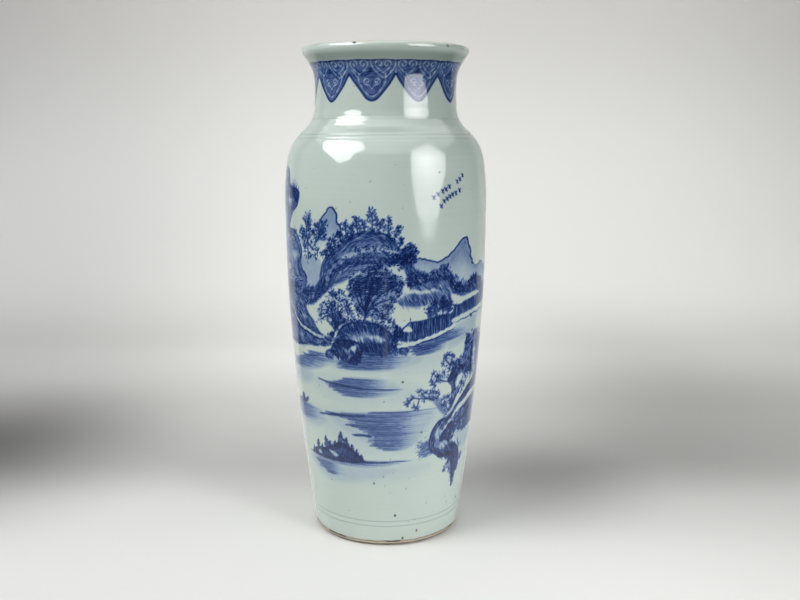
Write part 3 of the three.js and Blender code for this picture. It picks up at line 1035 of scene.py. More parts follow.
fill(wall, lump, 0.6, soft=0.8, hair=0.9, comb=110)
hatch(wall, lump, 0.55, 7, 0.8, 1, turn=-60, depth=(0, 7), seed=64)
wipe(wall, [(-34, 181), (-32, 190), (-26, 194), (-26, 188), (-32, 180)], 0.9, 1.2)
line(wall, lump[0:6], 1.6, 1.1)
hatch(wall, [(-36, 180), (-33, 186), (-26, 189), (-21, 186), (-22, 180), (-28, 177)],
      0.7, 6, 0.8, 1, level=100, seed=65)
pebble = [(-1, -0.5), (-0.6, 0.6), (0.3, 0.7), (1, 0), (0.6, -0.7)]
for cx, cz, r in ((-52, 183, 5), (13, 191, 5.5), (17, 189, 4.5)):
    stone = [(cx + r * u, cz + r * v) for u, v in pebble]
    wipe(wall, stone, 1, 0.5)
    fill(wall, stone, 0.5, soft=0.6)
    hatch(wall, stone, 0.4, 4, 0.8, 1, turn=-60, depth=(0, 3), seed=66)
    line(wall, stone[:4], 1.1, 1.05)
dabs(wall, curve([(-42, 206), (-30, 215), (-14, 216), (0, 211)], steps=8), 1.7, 1.05, rng)
foliage(wall, [(-6, 212), (0, 220), (8, 216), (6, 210), (0, 206)], 0.7, 1.1, 1.05, 0, seed=67, leaf=0.5)
report()

# %% [markdown]
# Houses stand behind a reed fence, which is a row of upright strokes under a thin wash.

# %% Houses behind a reed fence
roof = [(15, 209), (22, 215), (30, 214.5), (42, 216.5), (54, 219), (64, 221)]
eave = [(15, 199), (22, 197), (32, 197.5), (42, 200), (54, 203.5), (64, 206)]
fill(wall, roof + eave[::-1], 0.6, soft=0.8, sharp=True, hair=0.9, comb=90)
bars(wall, roof[1:], eave[1:], 1.1, 0.9, 0.95, seed=71)
fill(wall, [(8, 208), (20, 209), (20, 197), (8, 199)], 0.6, soft=0.8, sharp=True)
bars(wall, [(8, 208), (20, 209)], [(8, 199), (20, 197)], 1, 0.9, 1, seed=72)
foliage(wall, [(7, 203), (8, 209), (10, 212), (13, 209), (13, 202), (10, 198)], 0.8, 1.3, 1, 0.5, seed=73)
wipe(wall, [(15.5, 207.5), (19, 211), (22, 210.5), (24, 207), (20, 206)], 1, 0.6)
line(wall, [(14, 208.5), (18, 211.5), (22, 215.5)], 1, 1.05)
line(wall, [(22, 215), (30, 215), (42, 217), (54, 219.5)], 1.3, 1)
line(wall, [(22, 216), (22, 218.5)], 0.9, 1)
line(wall, [(38, 216.5), (38.5, 219)], 0.9, 1)
far_top = [(62, 227), (72, 226), (80, 228), (92, 230), (102, 231), (122, 234), (160, 238)]
far_foot = [(62, 213), (72, 216), (80, 217.5), (92, 219), (102, 220), (122, 223), (160, 226)]
fill(wall, far_top + far_foot[::-1], 0.6, soft=0.8, sharp=True, hair=0.9, comb=90)
bars(wall, far_top, far_foot, 1.1, 0.9, 0.95, seed=74)
wipe(wall, [(57, 222), (61, 227), (65, 225), (64, 221), (60, 219)], 1, 0.7)
line(wall, [(57, 222), (61, 228), (66, 224)], 0.9, 1)
for x, h, lean, s in ((46, 14, 100, 75), (52, 16, 85, 77), (57, 12, 72, 78), (41, 10, 110, 79)):
    sapling(wall, (x, 217), h, lean, seed=s, width=1.2, density=1)
foliage(wall, [
    (38, 222), (42, 228), (50, 231), (58, 229), (60, 222), (52, 216), (42, 217),
], 0.4, 1.2, 0.95, 0.15, seed=76, leaf=0.3)
report()

# %% [markdown]
# Water is level strokes that begin ragged and dark and thin out to the right, over a faint
# haze of cobalt that the wet brush left on the clay. A reach of water is its rows (height, left
# end, right end), a seed, the gap between strokes, their strength, how ragged and how faded they
# are, their slope and the wash under them. A dark edge is points, width, strength and, if need
# be, the widths of its ends. A haze is points, strength and softness.

# %% Water
near_shore = [
    ([(192, 20, 62), (188, 22, 58), (184, 26, 50)], 81, 1.9, 0.61, 6, 0.45, 0.09, 0.5),
    ([(198, 26, 78), (194, 22, 84), (190, 24, 90)], 82, 1.9, 0.59, 8, 0.6, 0.13, 0.45),
]
open_river = [
    ([(187, -16, 20), (183, -30, 26), (178, -48, 18), (172, -46, 2)], 83, 1.9, 0.59, 8, 0.65, 0, 0.5),
    ([(181, -84, -46), (176, -92, -40), (170, -116, -56), (164, -124, -80)],
     84, 2.1, 0.49, 12, 0.5, 0.03, 0.35),
    ([(164, -36, -2), (160, -50, 2), (156, -64, 10), (151, -54, 12), (147, -40, -6)],
     85, 1.9, 0.59, 7, 0.8, 0, 0.46),
    ([(132, -16, 52), (128, -62, 44), (124, -40, 30)], 86, 1.9, 0.61, 7, 0.5, 0.015, 0.45),
    ([(124, -36, 36), (118, -36, 40), (112, -18, 38), (106, -16, 34), (101, -16, 28), (97, -6, 18)],
     87, 1.9, 0.57, 8, 0.8, 0, 0.46),
]
bare_strands = [
    [(12, 193.5), (24, 195.5), (40, 199.5), (56, 204), (68, 208)],
    [(64, 212), (80, 214.5), (96, 217), (118, 219), (150, 222)],
]
dark_edges = [
    ([(-92, 178.5), (-80, 178), (-60, 181)], 1.1, 0.85),
    ([(-68, 158.5), (-56, 157), (-30, 155), (-5, 154.2), (17, 154)], 1.3, 0.95, (0.9, 0.3)),
    ([(-72, 125), (-60, 126), (-40, 127.5), (-20, 129)], 1.7, 0.95, (0.3, 0.8)),
    ([(-58, 126.5), (-44, 127)], 2.0, 1.05),
    ([(-33, 110), (-22, 110.5), (-12, 110)], 2.0, 1.05),
    ([(-40, 119), (-28, 119.5)], 1.4, 0.9),
]
hazes = [
    ([(-126, 168), (-84, 166), (-74, 158), (-90, 150), (-126, 154)], 0.18, 4),
    ([(-50, 182), (10, 184), (34, 184), (30, 176), (-4, 170), (-50, 172)], 0.2, 4),
    ([(-6, 162), (12, 160), (14, 150), (-10, 146), (-30, 144)], 0.17, 4),
    ([(-60, 128), (40, 132), (50, 124), (36, 108), (16, 98), (-16, 100)], 0.2, 6),
    ([(-70, 162), (20, 160), (30, 146), (-20, 138), (-66, 146)], 0.1, 9),
    ([(-100, 128), (62, 132), (58, 104), (-10, 92), (-60, 110)], 0.1, 9),
    ([(-60, 84), (40, 84), (30, 70), (-50, 66)], 0.1, 9),
    ([(-40, 184), (40, 186), (60, 178), (20, 168), (-40, 172)], 0.1, 9),
]
for reach in near_shore:
    water(wall, *reach)
fill(wall, [(62, 206), (86, 212), (110, 216), (104, 204), (92, 196), (76, 190), (60, 188)], 0.2, soft=4)
for seed, strand in enumerate(bare_strands):
    spare(wall, strand, 3.2 - 0.6 * seed, 1, 0.8)
    line(wall, craggy([(x, z - 2.3) for x, z in strand], 6 + seed, 0.7, 3.2), 1, 1, steps=3)
dabs(wall, np.array([(47, 197), (58, 201.5), (90, 213), (92, 213.5)]), 2.0, 1.05, rng, lean=10)
for reach in open_river:
    water(wall, *reach)
for edge in dark_edges:
    line(wall, *edge)
for haze in hazes:
    fill(wall, *haze)
report()

# %% [markdown]
# A moored boat at the left, and below it an islet of pines with its shadow in the water.

# %% A moored boat and an islet of pines
boat = [
    (-116, 131), (-104, 133), (-102, 138), (-97, 138), (-95, 134), (-88, 137), (-90, 132), (-100, 129),
]
fill(wall, boat, 0.95, soft=0.7)
water(wall, [(130, -122, -76), (126, -124, -62), (120, -118, -66), (116, -110, -80)],
      88, 2.0, 0.49, 8, 0.7, 0, 0.38)
fill(wall, [(-122, 122), (-70, 124), (-60, 118), (-80, 110), (-120, 112)], 0.18, soft=4)
islet = [(-90, 83), (-85, 88), (-78, 90), (-70, 91), (-62, 94), (-54, 98), (-46, 101), (-38, 99),
         (-31, 94), (-25, 89), (-20, 84), (-40, 83), (-64, 82)]
fill(wall, islet, 0.92, soft=0.8, hair=0.35, comb=75)
hatch(wall, islet, 0.16, 5, 1, 0.7, level=80, seed=91)
far_pines = [
    (-87, 84, 5, 2.4), (-78, 87, 11, 3.4), (-72, 89, 5, 3), (-65, 90, 14, 4.4), (-60, 92, 8, 3.6),
    (-53, 95, 6, 3.4), (-46, 97, 14, 5.4), (-40, 97, 9, 4.2), (-34, 94, 6, 3.2), (-29, 90, 6, 2.8),
    (-24, 86, 5, 2.4),
]
for k, (x, z, h, w) in enumerate(far_pines):
    pine(wall, x, z, h, w, seed=300 + k)
wipe(wall, [(-80, 85), (-78, 88.5), (-75, 88), (-74, 84.5)], 0.8, 0.8)
wipe(wall, [(-63, 91), (-57, 91), (-50, 87.5), (-55, 86)], 0.85, 0.9)
line(wall, [(-96, 83), (-60, 82), (-20, 84), (6, 85.5), (28, 86)], 1.5, 0.9, ends=(0.4, 0.2))
water(wall, [(86, -20, 16), (83, -90, 10), (80, -84, -4)], 92, 1.8, 0.61, 6, 0.5, 0, 0.4)
water(wall, [(79, -92, -46), (74, -84, -44), (69, -74, -48), (66, -64, -54)],
      93, 1.9, 0.49, 6, 0.6, 0, 0.42)
fill(wall, [(-96, 80), (-30, 82), (10, 80), (6, 72), (-30, 64), (-70, 62)], 0.18, soft=5)
report()

# %% [markdown]
# At the right an old tree leans over the river, with a paler crown behind it. Its boughs end in
# sprigs of leaves, the nearest and sharpest marks of the painting.

# %% The leaning tree
far_crown = [
    (84, 192), (88, 196), (96, 195), (104, 198), (118, 192), (130, 184), (134, 168), (126, 150),
    (112, 150), (102, 158), (96, 160), (88, 160), (80, 161), (70, 158), (66, 166), (68, 175), (76, 175),
    (82, 180),
]
foliage(wall, far_crown, 0.46, 1.35, 0.8, 0.78, seed=101, clump=2.3, leaf=0.55, edge=1.8)
wipe(wall, [(75, 156), (79, 160), (85, 159), (89, 152), (84, 149), (77, 151)], 0.9, 1.4)
wipe(wall, [(101, 178), (105, 182), (109, 170), (112, 158), (106, 152), (103, 160)], 0.6, 2.0)
line(wall, [(100, 150), (99, 164), (97, 178), (99, 190)], 2.2, 1)
trunk = [(58, 122), (66, 124), (74, 130), (86, 140), (98, 148), (126, 156), (140, 158), (140, 146),
         (126, 141), (104, 140), (90, 134), (80, 130), (72, 123), (64, 117)]
fill(wall, trunk, 0.62, soft=0.9, hair=1)
hatch(wall, trunk, 0.18, 9, 0.9, 0.95, seed=102)
limb = [(62, 124), (68, 136), (68, 150), (62, 158), (70, 168), (78, 172), (86, 166), (78, 162), (74, 152),
        (76, 142), (72, 132)]
fill(wall, limb, 0.6, soft=1.2, hair=1)
hatch(wall, limb, 0.14, 7, 0.9, 0.95, seed=103)
fill(wall, [(62, 124), (54, 130), (48, 138), (42, 144), (47, 146), (56, 140), (60, 132), (66, 128)],
     0.55, soft=1.2, hair=1)
leaf_clusters = [
    (62, 176, 6, 6, 104), (52, 161, 8, 5, 105), (40, 147, 7, 4, 106), (64, 136, 6, 5.5, 108),
    (82, 147, 6, 6, 109), (48, 145, 6, 3.5, 110), (66, 160, 5, 4, 117), (90, 158, 8, 5, 118),
]
for cx, cz, rx, rz, s in leaf_clusters:
    crown = [(cx + rx * math.cos(k * TAU / 8), cz + rz * math.sin(k * TAU / 8)) for k in range(8)]
    foliage(wall, crown, 0.16, 1, 0.85, 0.12, seed=s, clump=3, leaf=0.25, ragged=0.35, edge=1.8)
boughs = [
    [(66, 164), (63, 172), (58, 178), (60, 181), (66, 180)], [(64, 156), (56, 158), (50, 162), (46, 166)],
    [(48, 141), (38, 145), (33, 151)], [(46, 143), (34, 144), (26, 145), (20, 141)],
    [(32, 144), (31, 139), (29, 135)], [(66, 128), (62, 134), (60, 140)],
    [(74, 138), (80, 146), (84, 154)], [(70, 170), (66, 176), (68, 180)], [(52, 160), (47, 157)],
]
for bough in boughs:
    line(wall, bough, 1.3, 1)
sprigs = [
    (58, 180, 120), (62, 181, 60), (67, 179, 20), (56, 174, 190), (64, 168, 150), (46, 166, 120),
    (45, 159, 200), (50, 163, 80), (47, 156, 250), (33, 151, 110), (38, 149, 60), (46, 149, 90),
    (50, 147, 60), (22, 143, 190), (26, 145, 110), (20, 141, 250), (30, 136, 270), (28, 138, 200),
    (60, 141, 110), (64, 141, 70), (60, 135, 180), (67, 137, 0), (82, 152, 100), (86, 149, 30),
    (78, 147, 160), (58, 166, 180), (66, 172, 100), (92, 160, 90),
]
for s, (x, z, lean) in enumerate(sprigs, 1):
    sprig(wall, x, z, lean, seed=s)
report()

# %% [markdown]
# Under the tree the water has hollowed the bank out. Its rim is a loaded stroke, its earth is
# hairy wash, and spray flies off the point where the current meets it.

# %% The bank under it
cliff = [
    (62, 121), (55, 119.5), (49, 113), (46, 105), (45, 98), (48, 91), (54, 87), (60, 83.5), (68, 83),
    (74, 79), (78, 73), (80, 66), (82, 58), (84, 51), (87, 60), (89, 68), (92, 78), (86, 90), (76, 96),
    (66, 102), (62, 108), (64, 114), (72, 118), (86, 126), (104, 131), (126, 132), (126, 124), (100, 136),
    (80, 130),
]
rim = cliff[:25] + [(72, 123), (66, 122)]
fill(wall, rim, 0.6, soft=0.9, hair=1)
hatch(wall, rim, 0.2, 9, 0.9, 0.95, depth=(0, 6), seed=112)
lower = [(66, 113), (80, 123), (98, 131), (126, 136), (140, 138), (140, 116), (126, 108), (108, 106),
         (92, 104), (78, 108), (70, 100), (60, 100), (62, 108)]
fill(wall, lower, 0.45, soft=1.5, hair=1, comb=35, leaf=0.5)
foliage(wall, lower, 0.3, 1.4, 0.9, 0, seed=113, leaf=0.5)
hatch(wall, lower, 0.1, 9, 0.9, 0.9, level=35, seed=114)
foliage(wall, [
    (60, 100), (62, 110), (70, 114), (78, 110), (78, 102), (70, 98),
], 0.5, 1.4, 1, 0.3, seed=119)
wipe(wall, [(58, 95), (62, 100), (68, 99), (69, 94), (63, 92)], 0.8, 1.6)
wipe(wall, [(50, 106), (54, 113), (60, 110), (56, 103)], 0.6, 2.0)
spare(wall, [(60, 109), (66, 115), (74, 122), (86, 129), (104, 136), (122, 138), (140, 140)],
      2.2, 0.85, 1.2)
hatch(wall, [(34, 103), (40, 103), (47, 102), (49, 90), (40, 87), (35, 90)],
      0.5, 5, 0.8, 0.62, level=200, seed=115, vary=0.4)
fill(wall, [(39, 100), (45, 103), (50, 92), (43, 88), (38, 92)], 0.4, soft=3.5)
dabs(wall, rng.normal((35, 96), (3.0, 5), (46, 2)), 0.95, 0.8, rng)
root = [
    (74, 80), (66, 70), (72, 70), (80, 62), (84, 50), (87, 62), (92, 68), (98, 80), (90, 78), (84, 84),
]
foliage(wall, root, 0.4, 1.2, 0.8, 0.5, seed=116, leaf=0.5)
line(wall, [(78, 76), (81, 64), (83, 51)], 2.6, 1)
hatch(wall, [(60, 84), (74, 80), (90, 78), (92, 92), (74, 96), (58, 92)],
      0.16, 8, 0.9, 0.95, level=-62, seed=120, vary=0.5)
fill(wall, [(78, 104), (100, 108), (118, 100), (110, 88), (92, 86)], 0.17, soft=4)
line(wall, [(62, 121.5), (55, 119.5), (49, 113), (46, 105), (45.5, 98)], 2.0, 1.1)
report()

# %% [markdown]
# ## The collar of lappets
# Round the neck hang ten pointed lappets, each a tenth of a turn wide. On a blue ground, thin
# lines are left bare: a border inside each point, and ruyi heads, a heart whose two lobes curl
# in. One lappet is a rule, so a loop paints all ten, with a slightly different hand each time.

# %% Collar
COLLAR_R = 64.5
LAPPETS = 10
FIRST_TIP = math.radians(-9.5)
collar = Paper(radius=COLLAR_R, low=386, high=442, cell=0.3)


def ruyi(paper, x, z, size=1, bare=0.58, width=0.95):
    """A heart outline with two curled lobes, left bare in the ground."""
    for side in (-1, 1):
        lobe = [(0, -6.8), (4.6, -3.4), (7.8, 0.6), (7.2, 4.2), (4.2, 5.2), (1.8, 3.4), (2.0, 0.9),
                (4.0, 0.3), (4.9, 1.8)]
        spare(paper, [(x + side * u * size, z + v * size) for u, v in lobe], width, bare, 0.4)


def lappet(paper, x, hand):
    """One lappet, hanging from the band with its tip at x."""
    half = TAU * COLLAR_R / LAPPETS / 2
    edge = [(half, 423.6), (17.6, 420), (13.8, 414.6), (9, 408), (4.6, 403.4), (0, 401.4)]
    left = [(x - u * hand.uniform(0.97, 1.03), z + hand.normal(0, 0.2)) for u, z in edge]
    right = [(x + u * hand.uniform(0.97, 1.03), z + hand.normal(0, 0.2)) for u, z in edge[::-1][1:]]
    rim = curve(left + right, steps=5)
    top = [(x + half + 0.3, 434.6), (x, 434.9), (x - half - 0.3, 434.6)]
    fill(paper, [*rim, *top], 0.78, soft=0.45, sharp=True, hair=0.12, comb=20)
    within = [(x + (px - x) * 0.82, 418 + (pz - 418) * 0.8) for px, pz in [*rim, *top]]
    hatch(paper, within, 0.1, 6, 0.8, 0.6, turn=8, seed=int(hand.integers(999)))
    line(paper, left + right, 1.7, 0.98, ends=(1, 1), soft=0.5)
    hem = [(-half, 434.4), (-half / 2, 434.9), (0, 434.5), (half / 2, 434.9), (half, 434.4)]
    line(paper, [(x + u, z) for u, z in hem], 1.3, 1, ends=(1, 1))
    inner = [(-11.5, 424), (-11.8, 418.5), (-8.6, 412.2), (-4.4, 407.2), (0, 404.8), (4.4, 407.2),
             (8.8, 412.2), (12, 418.5), (11.5, 424)]
    spare(paper, [(x + u, z) for u, z in inner], 1, 0.55, 0.4)
    for side in (-1, 1):
        edge_curl = [(x + side * u, z) for u, z in ((13, 421), (16.5, 425.5), (18.5, 427))]
        spare(paper, edge_curl, 0.9, 0.5, 0.4)
    for side in (-1, 1):
        lobe = [(0, -3.0), (2.8, 0.2), (5.8, 1), (7.0, 3.4), (5.2, 5.4), (2.9, 4.6), (3.0, 2.6),
                (4.6, 2.4)]
        spare(paper, [(x + side * u, 414.2 + v) for u, v in lobe], 1, 0.6, 0.4)
    ruyi(paper, x - 10.6, 429.6, 0.95)
    wide = [(-9.8, 435), (-9.6, 430.5), (-5.6, 425), (0.6, 420.6), (6.2, 425), (9.8, 430.5), (9.6, 435)]
    spare(paper, [(x + 9.8 + u, z) for u, z in wide], 1, 0.55, 0.4)
    ruyi(paper, x + 9.8, 430, 0.8)
    fill(paper, [(x - 4.6, 424.2), (x - 0.8, 429.5), (x + 2.6, 424.2)], 1.15, soft=0.8, sharp=True)


painter = np.random.default_rng(7)
for k in range(LAPPETS):
    lappet(collar, COLLAR_R * (FIRST_TIP + TAU * k / LAPPETS), painter)
print("collar:", LAPPETS, "lappets on", collar.wash.shape, "cells")

# %% [markdown]
# ## Specks of iron
# Washed clay still holds grains of iron, which burn through the glaze as dark specks. A few
# sit where they do in the photo, and the rest are sown at random, most of them hardly visible.

# %% Iron specks
SPECKS = [
    (-12, 64, 1.3), (16, 161, 1.4), (36, 112, 1.2), (5, 88, 0.8), (-2, 71, 0.8), (52, 93, 0.9),
    (22, 58, 0.7), (-44, 205, 0.7), (60, 250, 0.7), (48, 342, 1.0), (10.5, 31.5, 1.7),
    (37, 13.5, 1.6), (20, 7.5, 1.7), (100, 33, 1.3), (-1, 143, 0.8),
]


def speckle(paper, count, seed):
    """Sow specks at random places, most of them small."""
    sower = np.random.default_rng(seed)
    low, high = paper.low + 4, paper.low + paper.rows * paper.cell - 4
    turn = paper.columns * paper.cell
    for _ in range(count):
        x, z = sower.uniform(0, turn), sower.uniform(low, high)
        size = 0.35 + sower.exponential(0.16)
        paper_speck(paper, x, z, size, sower.uniform(0.3, 0.9))


def paper_speck(paper, x, z, size, depth):
    """One round speck with a soft edge."""
    place, X, Z = paper.window(x - 3, x + 3, z - 3, z + 3)
    spot = depth * (1 - smooth(size * 0.5, size * 1.1, np.hypot(X - x, Z - z)))
    paper.iron[place] = np.maximum(paper.iron[place], spot)


speckle(wall, 420, 21)
speckle(collar, 30, 22)
for x, z, size in SPECKS:
    paper_speck(wall, x, z, size, 0.95)
print("iron specks:", int((wall.iron > 0.5).sum()), "cells")

# %% [markdown]
# ## The glaze
# One clear glaze covers the painting, so this is one material. Cobalt under glaze doesn't mix
# like paint on top: a thin wash is a soft grey-blue, and the more pigment there is, the deeper
# and more violet it gets. So the shader adds the layers up into one number, the strength of the
# cobalt, and a colour ramp turns that into colour. The hairs of the brush and the leaves are
# drawn here, finer than the mesh could hold, wherever the painted layers ask for them.

# %% Shader helpers
def colour(red, green, blue):
    """A colour written in 0 to 255 screen values, as the linear values a shader needs."""
    screen = [c / 255 for c in (red, green, blue)]
    return tuple(c / 12.92 if c <= 0.04045 else ((c + 0.055) / 1.055) ** 2.4 for c in screen) + (1,)


def new_material(name):
    """A material with an empty tree, and the short ways to fill it."""
    material = bpy.data.materials.new(name)
    material.use_nodes = True
    tree = material.node_tree
    tree.nodes.clear()
    return material, tree, *node_helpers(tree)


def noise(tree, vector, scale, detail=2.0, stretch=(1, 1, 1)):
    """Soft noise, finer with a larger scale, and finer along some axes than along others."""
    add, _, link = node_helpers(tree)
    spread = add("ShaderNodeVectorMath", operation="MULTIPLY")
    link(vector, spread.inputs[0])
    spread.inputs[1].default_value = [scale * s for s in stretch]
    texture = add("ShaderNodeTexNoise")
    texture.inputs["Scale"].default_value = 1
    texture.inputs["Detail"].default_value = detail
    link(spread.outputs[0], texture.inputs["Vector"])
    return texture.outputs[0]


def mix(tree, share, first, second, blend="MIX"):
    """Mix two colours, each a socket or a plain colour."""
    add, _, link = node_helpers(tree)
    node = add("ShaderNodeMix", data_type="RGBA", blend_type=blend)
    for socket, value in ((node.inputs[0], share), (node.inputs[6], first), (node.inputs[7], second)):
        if isinstance(value, bpy.types.NodeSocket):
            link(value, socket)
        else:
            socket.default_value = value
    return node.outputs[2]


def held(maths, value, low, high):
    """A value, kept between two ends."""
    return maths("MINIMUM", maths("MAXIMUM", value, low), high)


def contrast(maths, value, middle, gain, low, high):
    """A noise made harder: its distance from a middle value, multiplied and kept in bounds."""
    return held(maths, maths("MULTIPLY", maths("SUBTRACT", value, middle), gain), low, high)


def rise(tree, value, low, high, first=0.0, last=1.0, kind="LINEAR"):
    """From first to last as a value goes from low to high, in a straight or a soft line."""
    add, _, link = node_helpers(tree)
    node = add("ShaderNodeMapRange", interpolation_type=kind)
    ends = {"From Min": low, "From Max": high, "To Min": first, "To Max": last}
    for socket, end in ends.items():
        node.inputs[socket].default_value = end
    link(value, node.inputs["Value"])
    return node.outputs[0]


def vector_maths(tree, operation, vector, other=None):
    """A vector node. A length comes back as one number, anything else as a vector."""
    add, _, link = node_helpers(tree)
    node = add("ShaderNodeVectorMath", operation=operation)
    link(vector, node.inputs[0])
    if other is not None:
        node.inputs[1].default_value = other
    return node.outputs["Value" if operation == "LENGTH" else "Vector"]


def attribute(tree, name, parts=None):
    """A painted attribute, whole or taken apart into its numbers."""
    add, _, link = node_helpers(tree)
    node = add("ShaderNodeAttribute", attribute_name=name)
    if parts is None:
        return node.outputs
    split = add(parts)
    link(node.outputs["Color" if parts == "ShaderNodeSeparateColor" else "Vector"], split.inputs[0])
    return split.outputs


# %% Cobalt under glaze
STRONGEST = 1.5
GLAZE = colour(171, 182, 177)
COBALT = [
    (0.0, GLAZE),
    (0.2, colour(132, 150, 168)),
    (0.4, colour(77, 98, 141)),
    (0.66, colour(25, 51, 102)),
    (0.8, colour(13, 34, 82)),
    (1.0, colour(5, 20, 62)),
]


def cobalt_strength(tree, where):
    """Wash, ink and leaf dabs added into one number from 0 to STRONGEST."""
    _, maths, _ = node_helpers(tree)
    wash, ink, leaf = attribute(tree, "paint", "ShaderNodeSeparateColor")
    hair, comb = attribute(tree, "paint")["Alpha"], attribute(tree, "comb")["Vector"]

    streak = contrast(maths, noise(tree, comb, 1, 2.0, (1.55, 0.12, 0)), 0.48, 3.6, -0.62, 0.75)
    pooled = maths("MULTIPLY", wash, maths("ADD", maths("MULTIPLY", streak, hair), 1))
    cloudy = maths("ADD", maths("MULTIPLY", noise(tree, where, 170, 3.0), 0.36), 0.82)
    pooled = maths("MULTIPLY", pooled, cloudy)

    leaves = contrast(maths, noise(tree, where, 850, 1.0), 0.49, 9, 0, 1)
    dab = maths("MULTIPLY", leaves, leaf)
    dab = maths("MULTIPLY", dab, maths("SUBTRACT", 0.78, maths("MULTIPLY", wash, 0.3)))

    over = maths("SUBTRACT", 1, maths("MULTIPLY", maths("MINIMUM", wash, 1), 0.55))
    grain = maths("ADD", maths("MULTIPLY", noise(tree, where, 650, 2.0), 0.5), 0.75)
    strokes = maths("MULTIPLY", maths("MULTIPLY", ink, over), grain)
    return maths("ADD", maths("ADD", pooled, dab), strokes)


# %% [markdown]
# Where the glaze lies thick it is a deeper blue-green, as in the cut lines. Under the lip's roll
# the same tint is laid on as painted shade, with some pooled glaze. On the crest of the lip the
# glaze runs thin and shows the warmer body. Under the glaze line near the foot the body is bare:
# a sandy biscuit with a rusty edge, and dirt with a painted contact shadow on the bevel by the
# floor. Iron specks and the nicks in the rim are nearly black.

# %% Glazed porcelain
GLAZE_LINE = (0.0056, 0.0060)
RUST_LINE = (0.0035, 0.0041)
GRIME_AND_SHADE_HEIGHT = (0.0004, 0.0032)
GRIME_AND_SHADE_RADIUS = 0.062


def painted_glaze(tree, where, marks):
    """The glaze with what shows through it: cobalt, throwing rings, pooled glaze, worn places, and
    painted shade under the lip.
    """
    add, maths, link = node_helpers(tree)
    cobalt = add("ShaderNodeValToRGB")
    link(maths("DIVIDE", cobalt_strength(tree, where), STRONGEST), cobalt.inputs[0])
    elements = cobalt.color_ramp.elements
    for stop, _ in COBALT[1:-1]:
        elements.new(stop)
    for element, (stop, tint) in zip(elements, COBALT):
        element.position, element.color = stop, tint

    rings = noise(tree, where, 1, 2.0, (4, 4, 420))
    patches = noise(tree, where, 28, 2.0)
    tone = maths("ADD", maths("MULTIPLY", rings, 0.5), maths("MULTIPLY", patches, 0.5))
    tone = maths("MULTIPLY", tone, 0.6)
    body = mix(tree, tone, cobalt.outputs[0], colour(228, 238, 234), "MULTIPLY")
    # pooled glaze in the cut lines, and painted shade under the lip, darken the glaze here
    thick_and_shaded = maths("MULTIPLY", marks["X"], 0.34)
    body = mix(tree, thick_and_shaded, body, colour(136, 152, 146), "MULTIPLY")
    blotch = contrast(maths, noise(tree, where, 45, 3.0), 0.44, 6, 0.15, 1)
    body = mix(tree, maths("MULTIPLY", marks["Y"], blotch), body, colour(178, 173, 156))
    iron = attribute(tree, "comb", "ShaderNodeSeparateXYZ")["Z"]
    body = mix(tree, iron, body, colour(26, 22, 22))
    return mix(tree, marks["Z"], body, colour(46, 40, 38))


def bare_foot(tree, where, height, above, grit):
    """The body where no glaze covers it: biscuit, a rusty edge, and dirt with a painted contact shadow on
    its outer bevel.
    """
    _, maths, _ = node_helpers(tree)
    bare = mix(tree, grit, colour(152, 142, 126), colour(186, 176, 158))
    broken = contrast(maths, noise(tree, where, 55, 2.0), 0.4, 5, 0.5, 1)
    rust = maths("MULTIPLY", rise(tree, above, *RUST_LINE), broken)
    bare = mix(tree, rust, bare, colour(74, 60, 50))
    # painted shade: dirt together with a painted contact shadow, darkest on the outer bevel next to the
    # floor
    low, high = GRIME_AND_SHADE_HEIGHT
    grime_and_contact_shade = held(maths, maths("MULTIPLY", maths("SUBTRACT", high, above), 1100), 0, 0.8)
    grime_and_contact_shade = maths("MULTIPLY", grime_and_contact_shade, maths("GREATER_THAN", height, low))
    reach = vector_maths(tree, "LENGTH", vector_maths(tree, "MULTIPLY", where, (1, 1, 0)))
    grime_and_contact_shade = maths("MULTIPLY", grime_and_contact_shade, maths("GREATER_THAN", reach, GRIME_AND_SHADE_RADIUS))
    return mix(tree, grime_and_contact_shade, bare, colour(84, 70, 58))


def glazed_porcelain():
    """Glaze over painting down to a ragged line near the foot, and bare body under it."""
    material, tree, add, maths, link = new_material("glazed_porcelain")
    where = add("ShaderNodeTexCoord").outputs["Object"]
    position = add("ShaderNodeSeparateXYZ")
    link(where, position.inputs[0])
    height = position.outputs["Z"]
    ragged = maths("MULTIPLY", maths("SUBTRACT", noise(tree, where, 90, 2.0), 0.5), 0.003)
    above = maths("ADD", height, ragged)
    covered = rise(tree, above, *GLAZE_LINE)
    grit = noise(tree, where, 1500, 2.0)
    marks = attribute(tree, "surface", "ShaderNodeSeparateXYZ")
    bare = bare_foot(tree, where, height, above, grit)
    final = mix(tree, covered, bare, painted_glaze(tree, where, marks))

    shader = add("ShaderNodeBsdfPrincipled")
    shader.inputs["IOR"].default_value = 1.55
    link(final, shader.inputs["Base Color"])
    matt = maths("MAXIMUM", maths("SUBTRACT", 1, covered), marks["Z"])
    link(maths("ADD", maths("MULTIPLY", matt, 0.72), 0.085), shader.inputs["Roughness"])
    bump = add("ShaderNodeBump")
    bump.inputs["Strength"].default_value = 0.5
    bump.inputs["Distance"].default_value = 0.0001
    skin = maths("MULTIPLY", noise(tree, where, 260, 1.0), covered)
    raw = maths("MULTIPLY", grit, maths("MULTIPLY", matt, 1.4))
    link(maths("ADD", maths("MULTIPLY", skin, 0.35), raw), bump.inputs["Height"])
    link(bump.outputs[0], shader.inputs["Normal"])
    link(shader.outputs[0], add("ShaderNodeOutputMaterial").inputs[0])
    return material


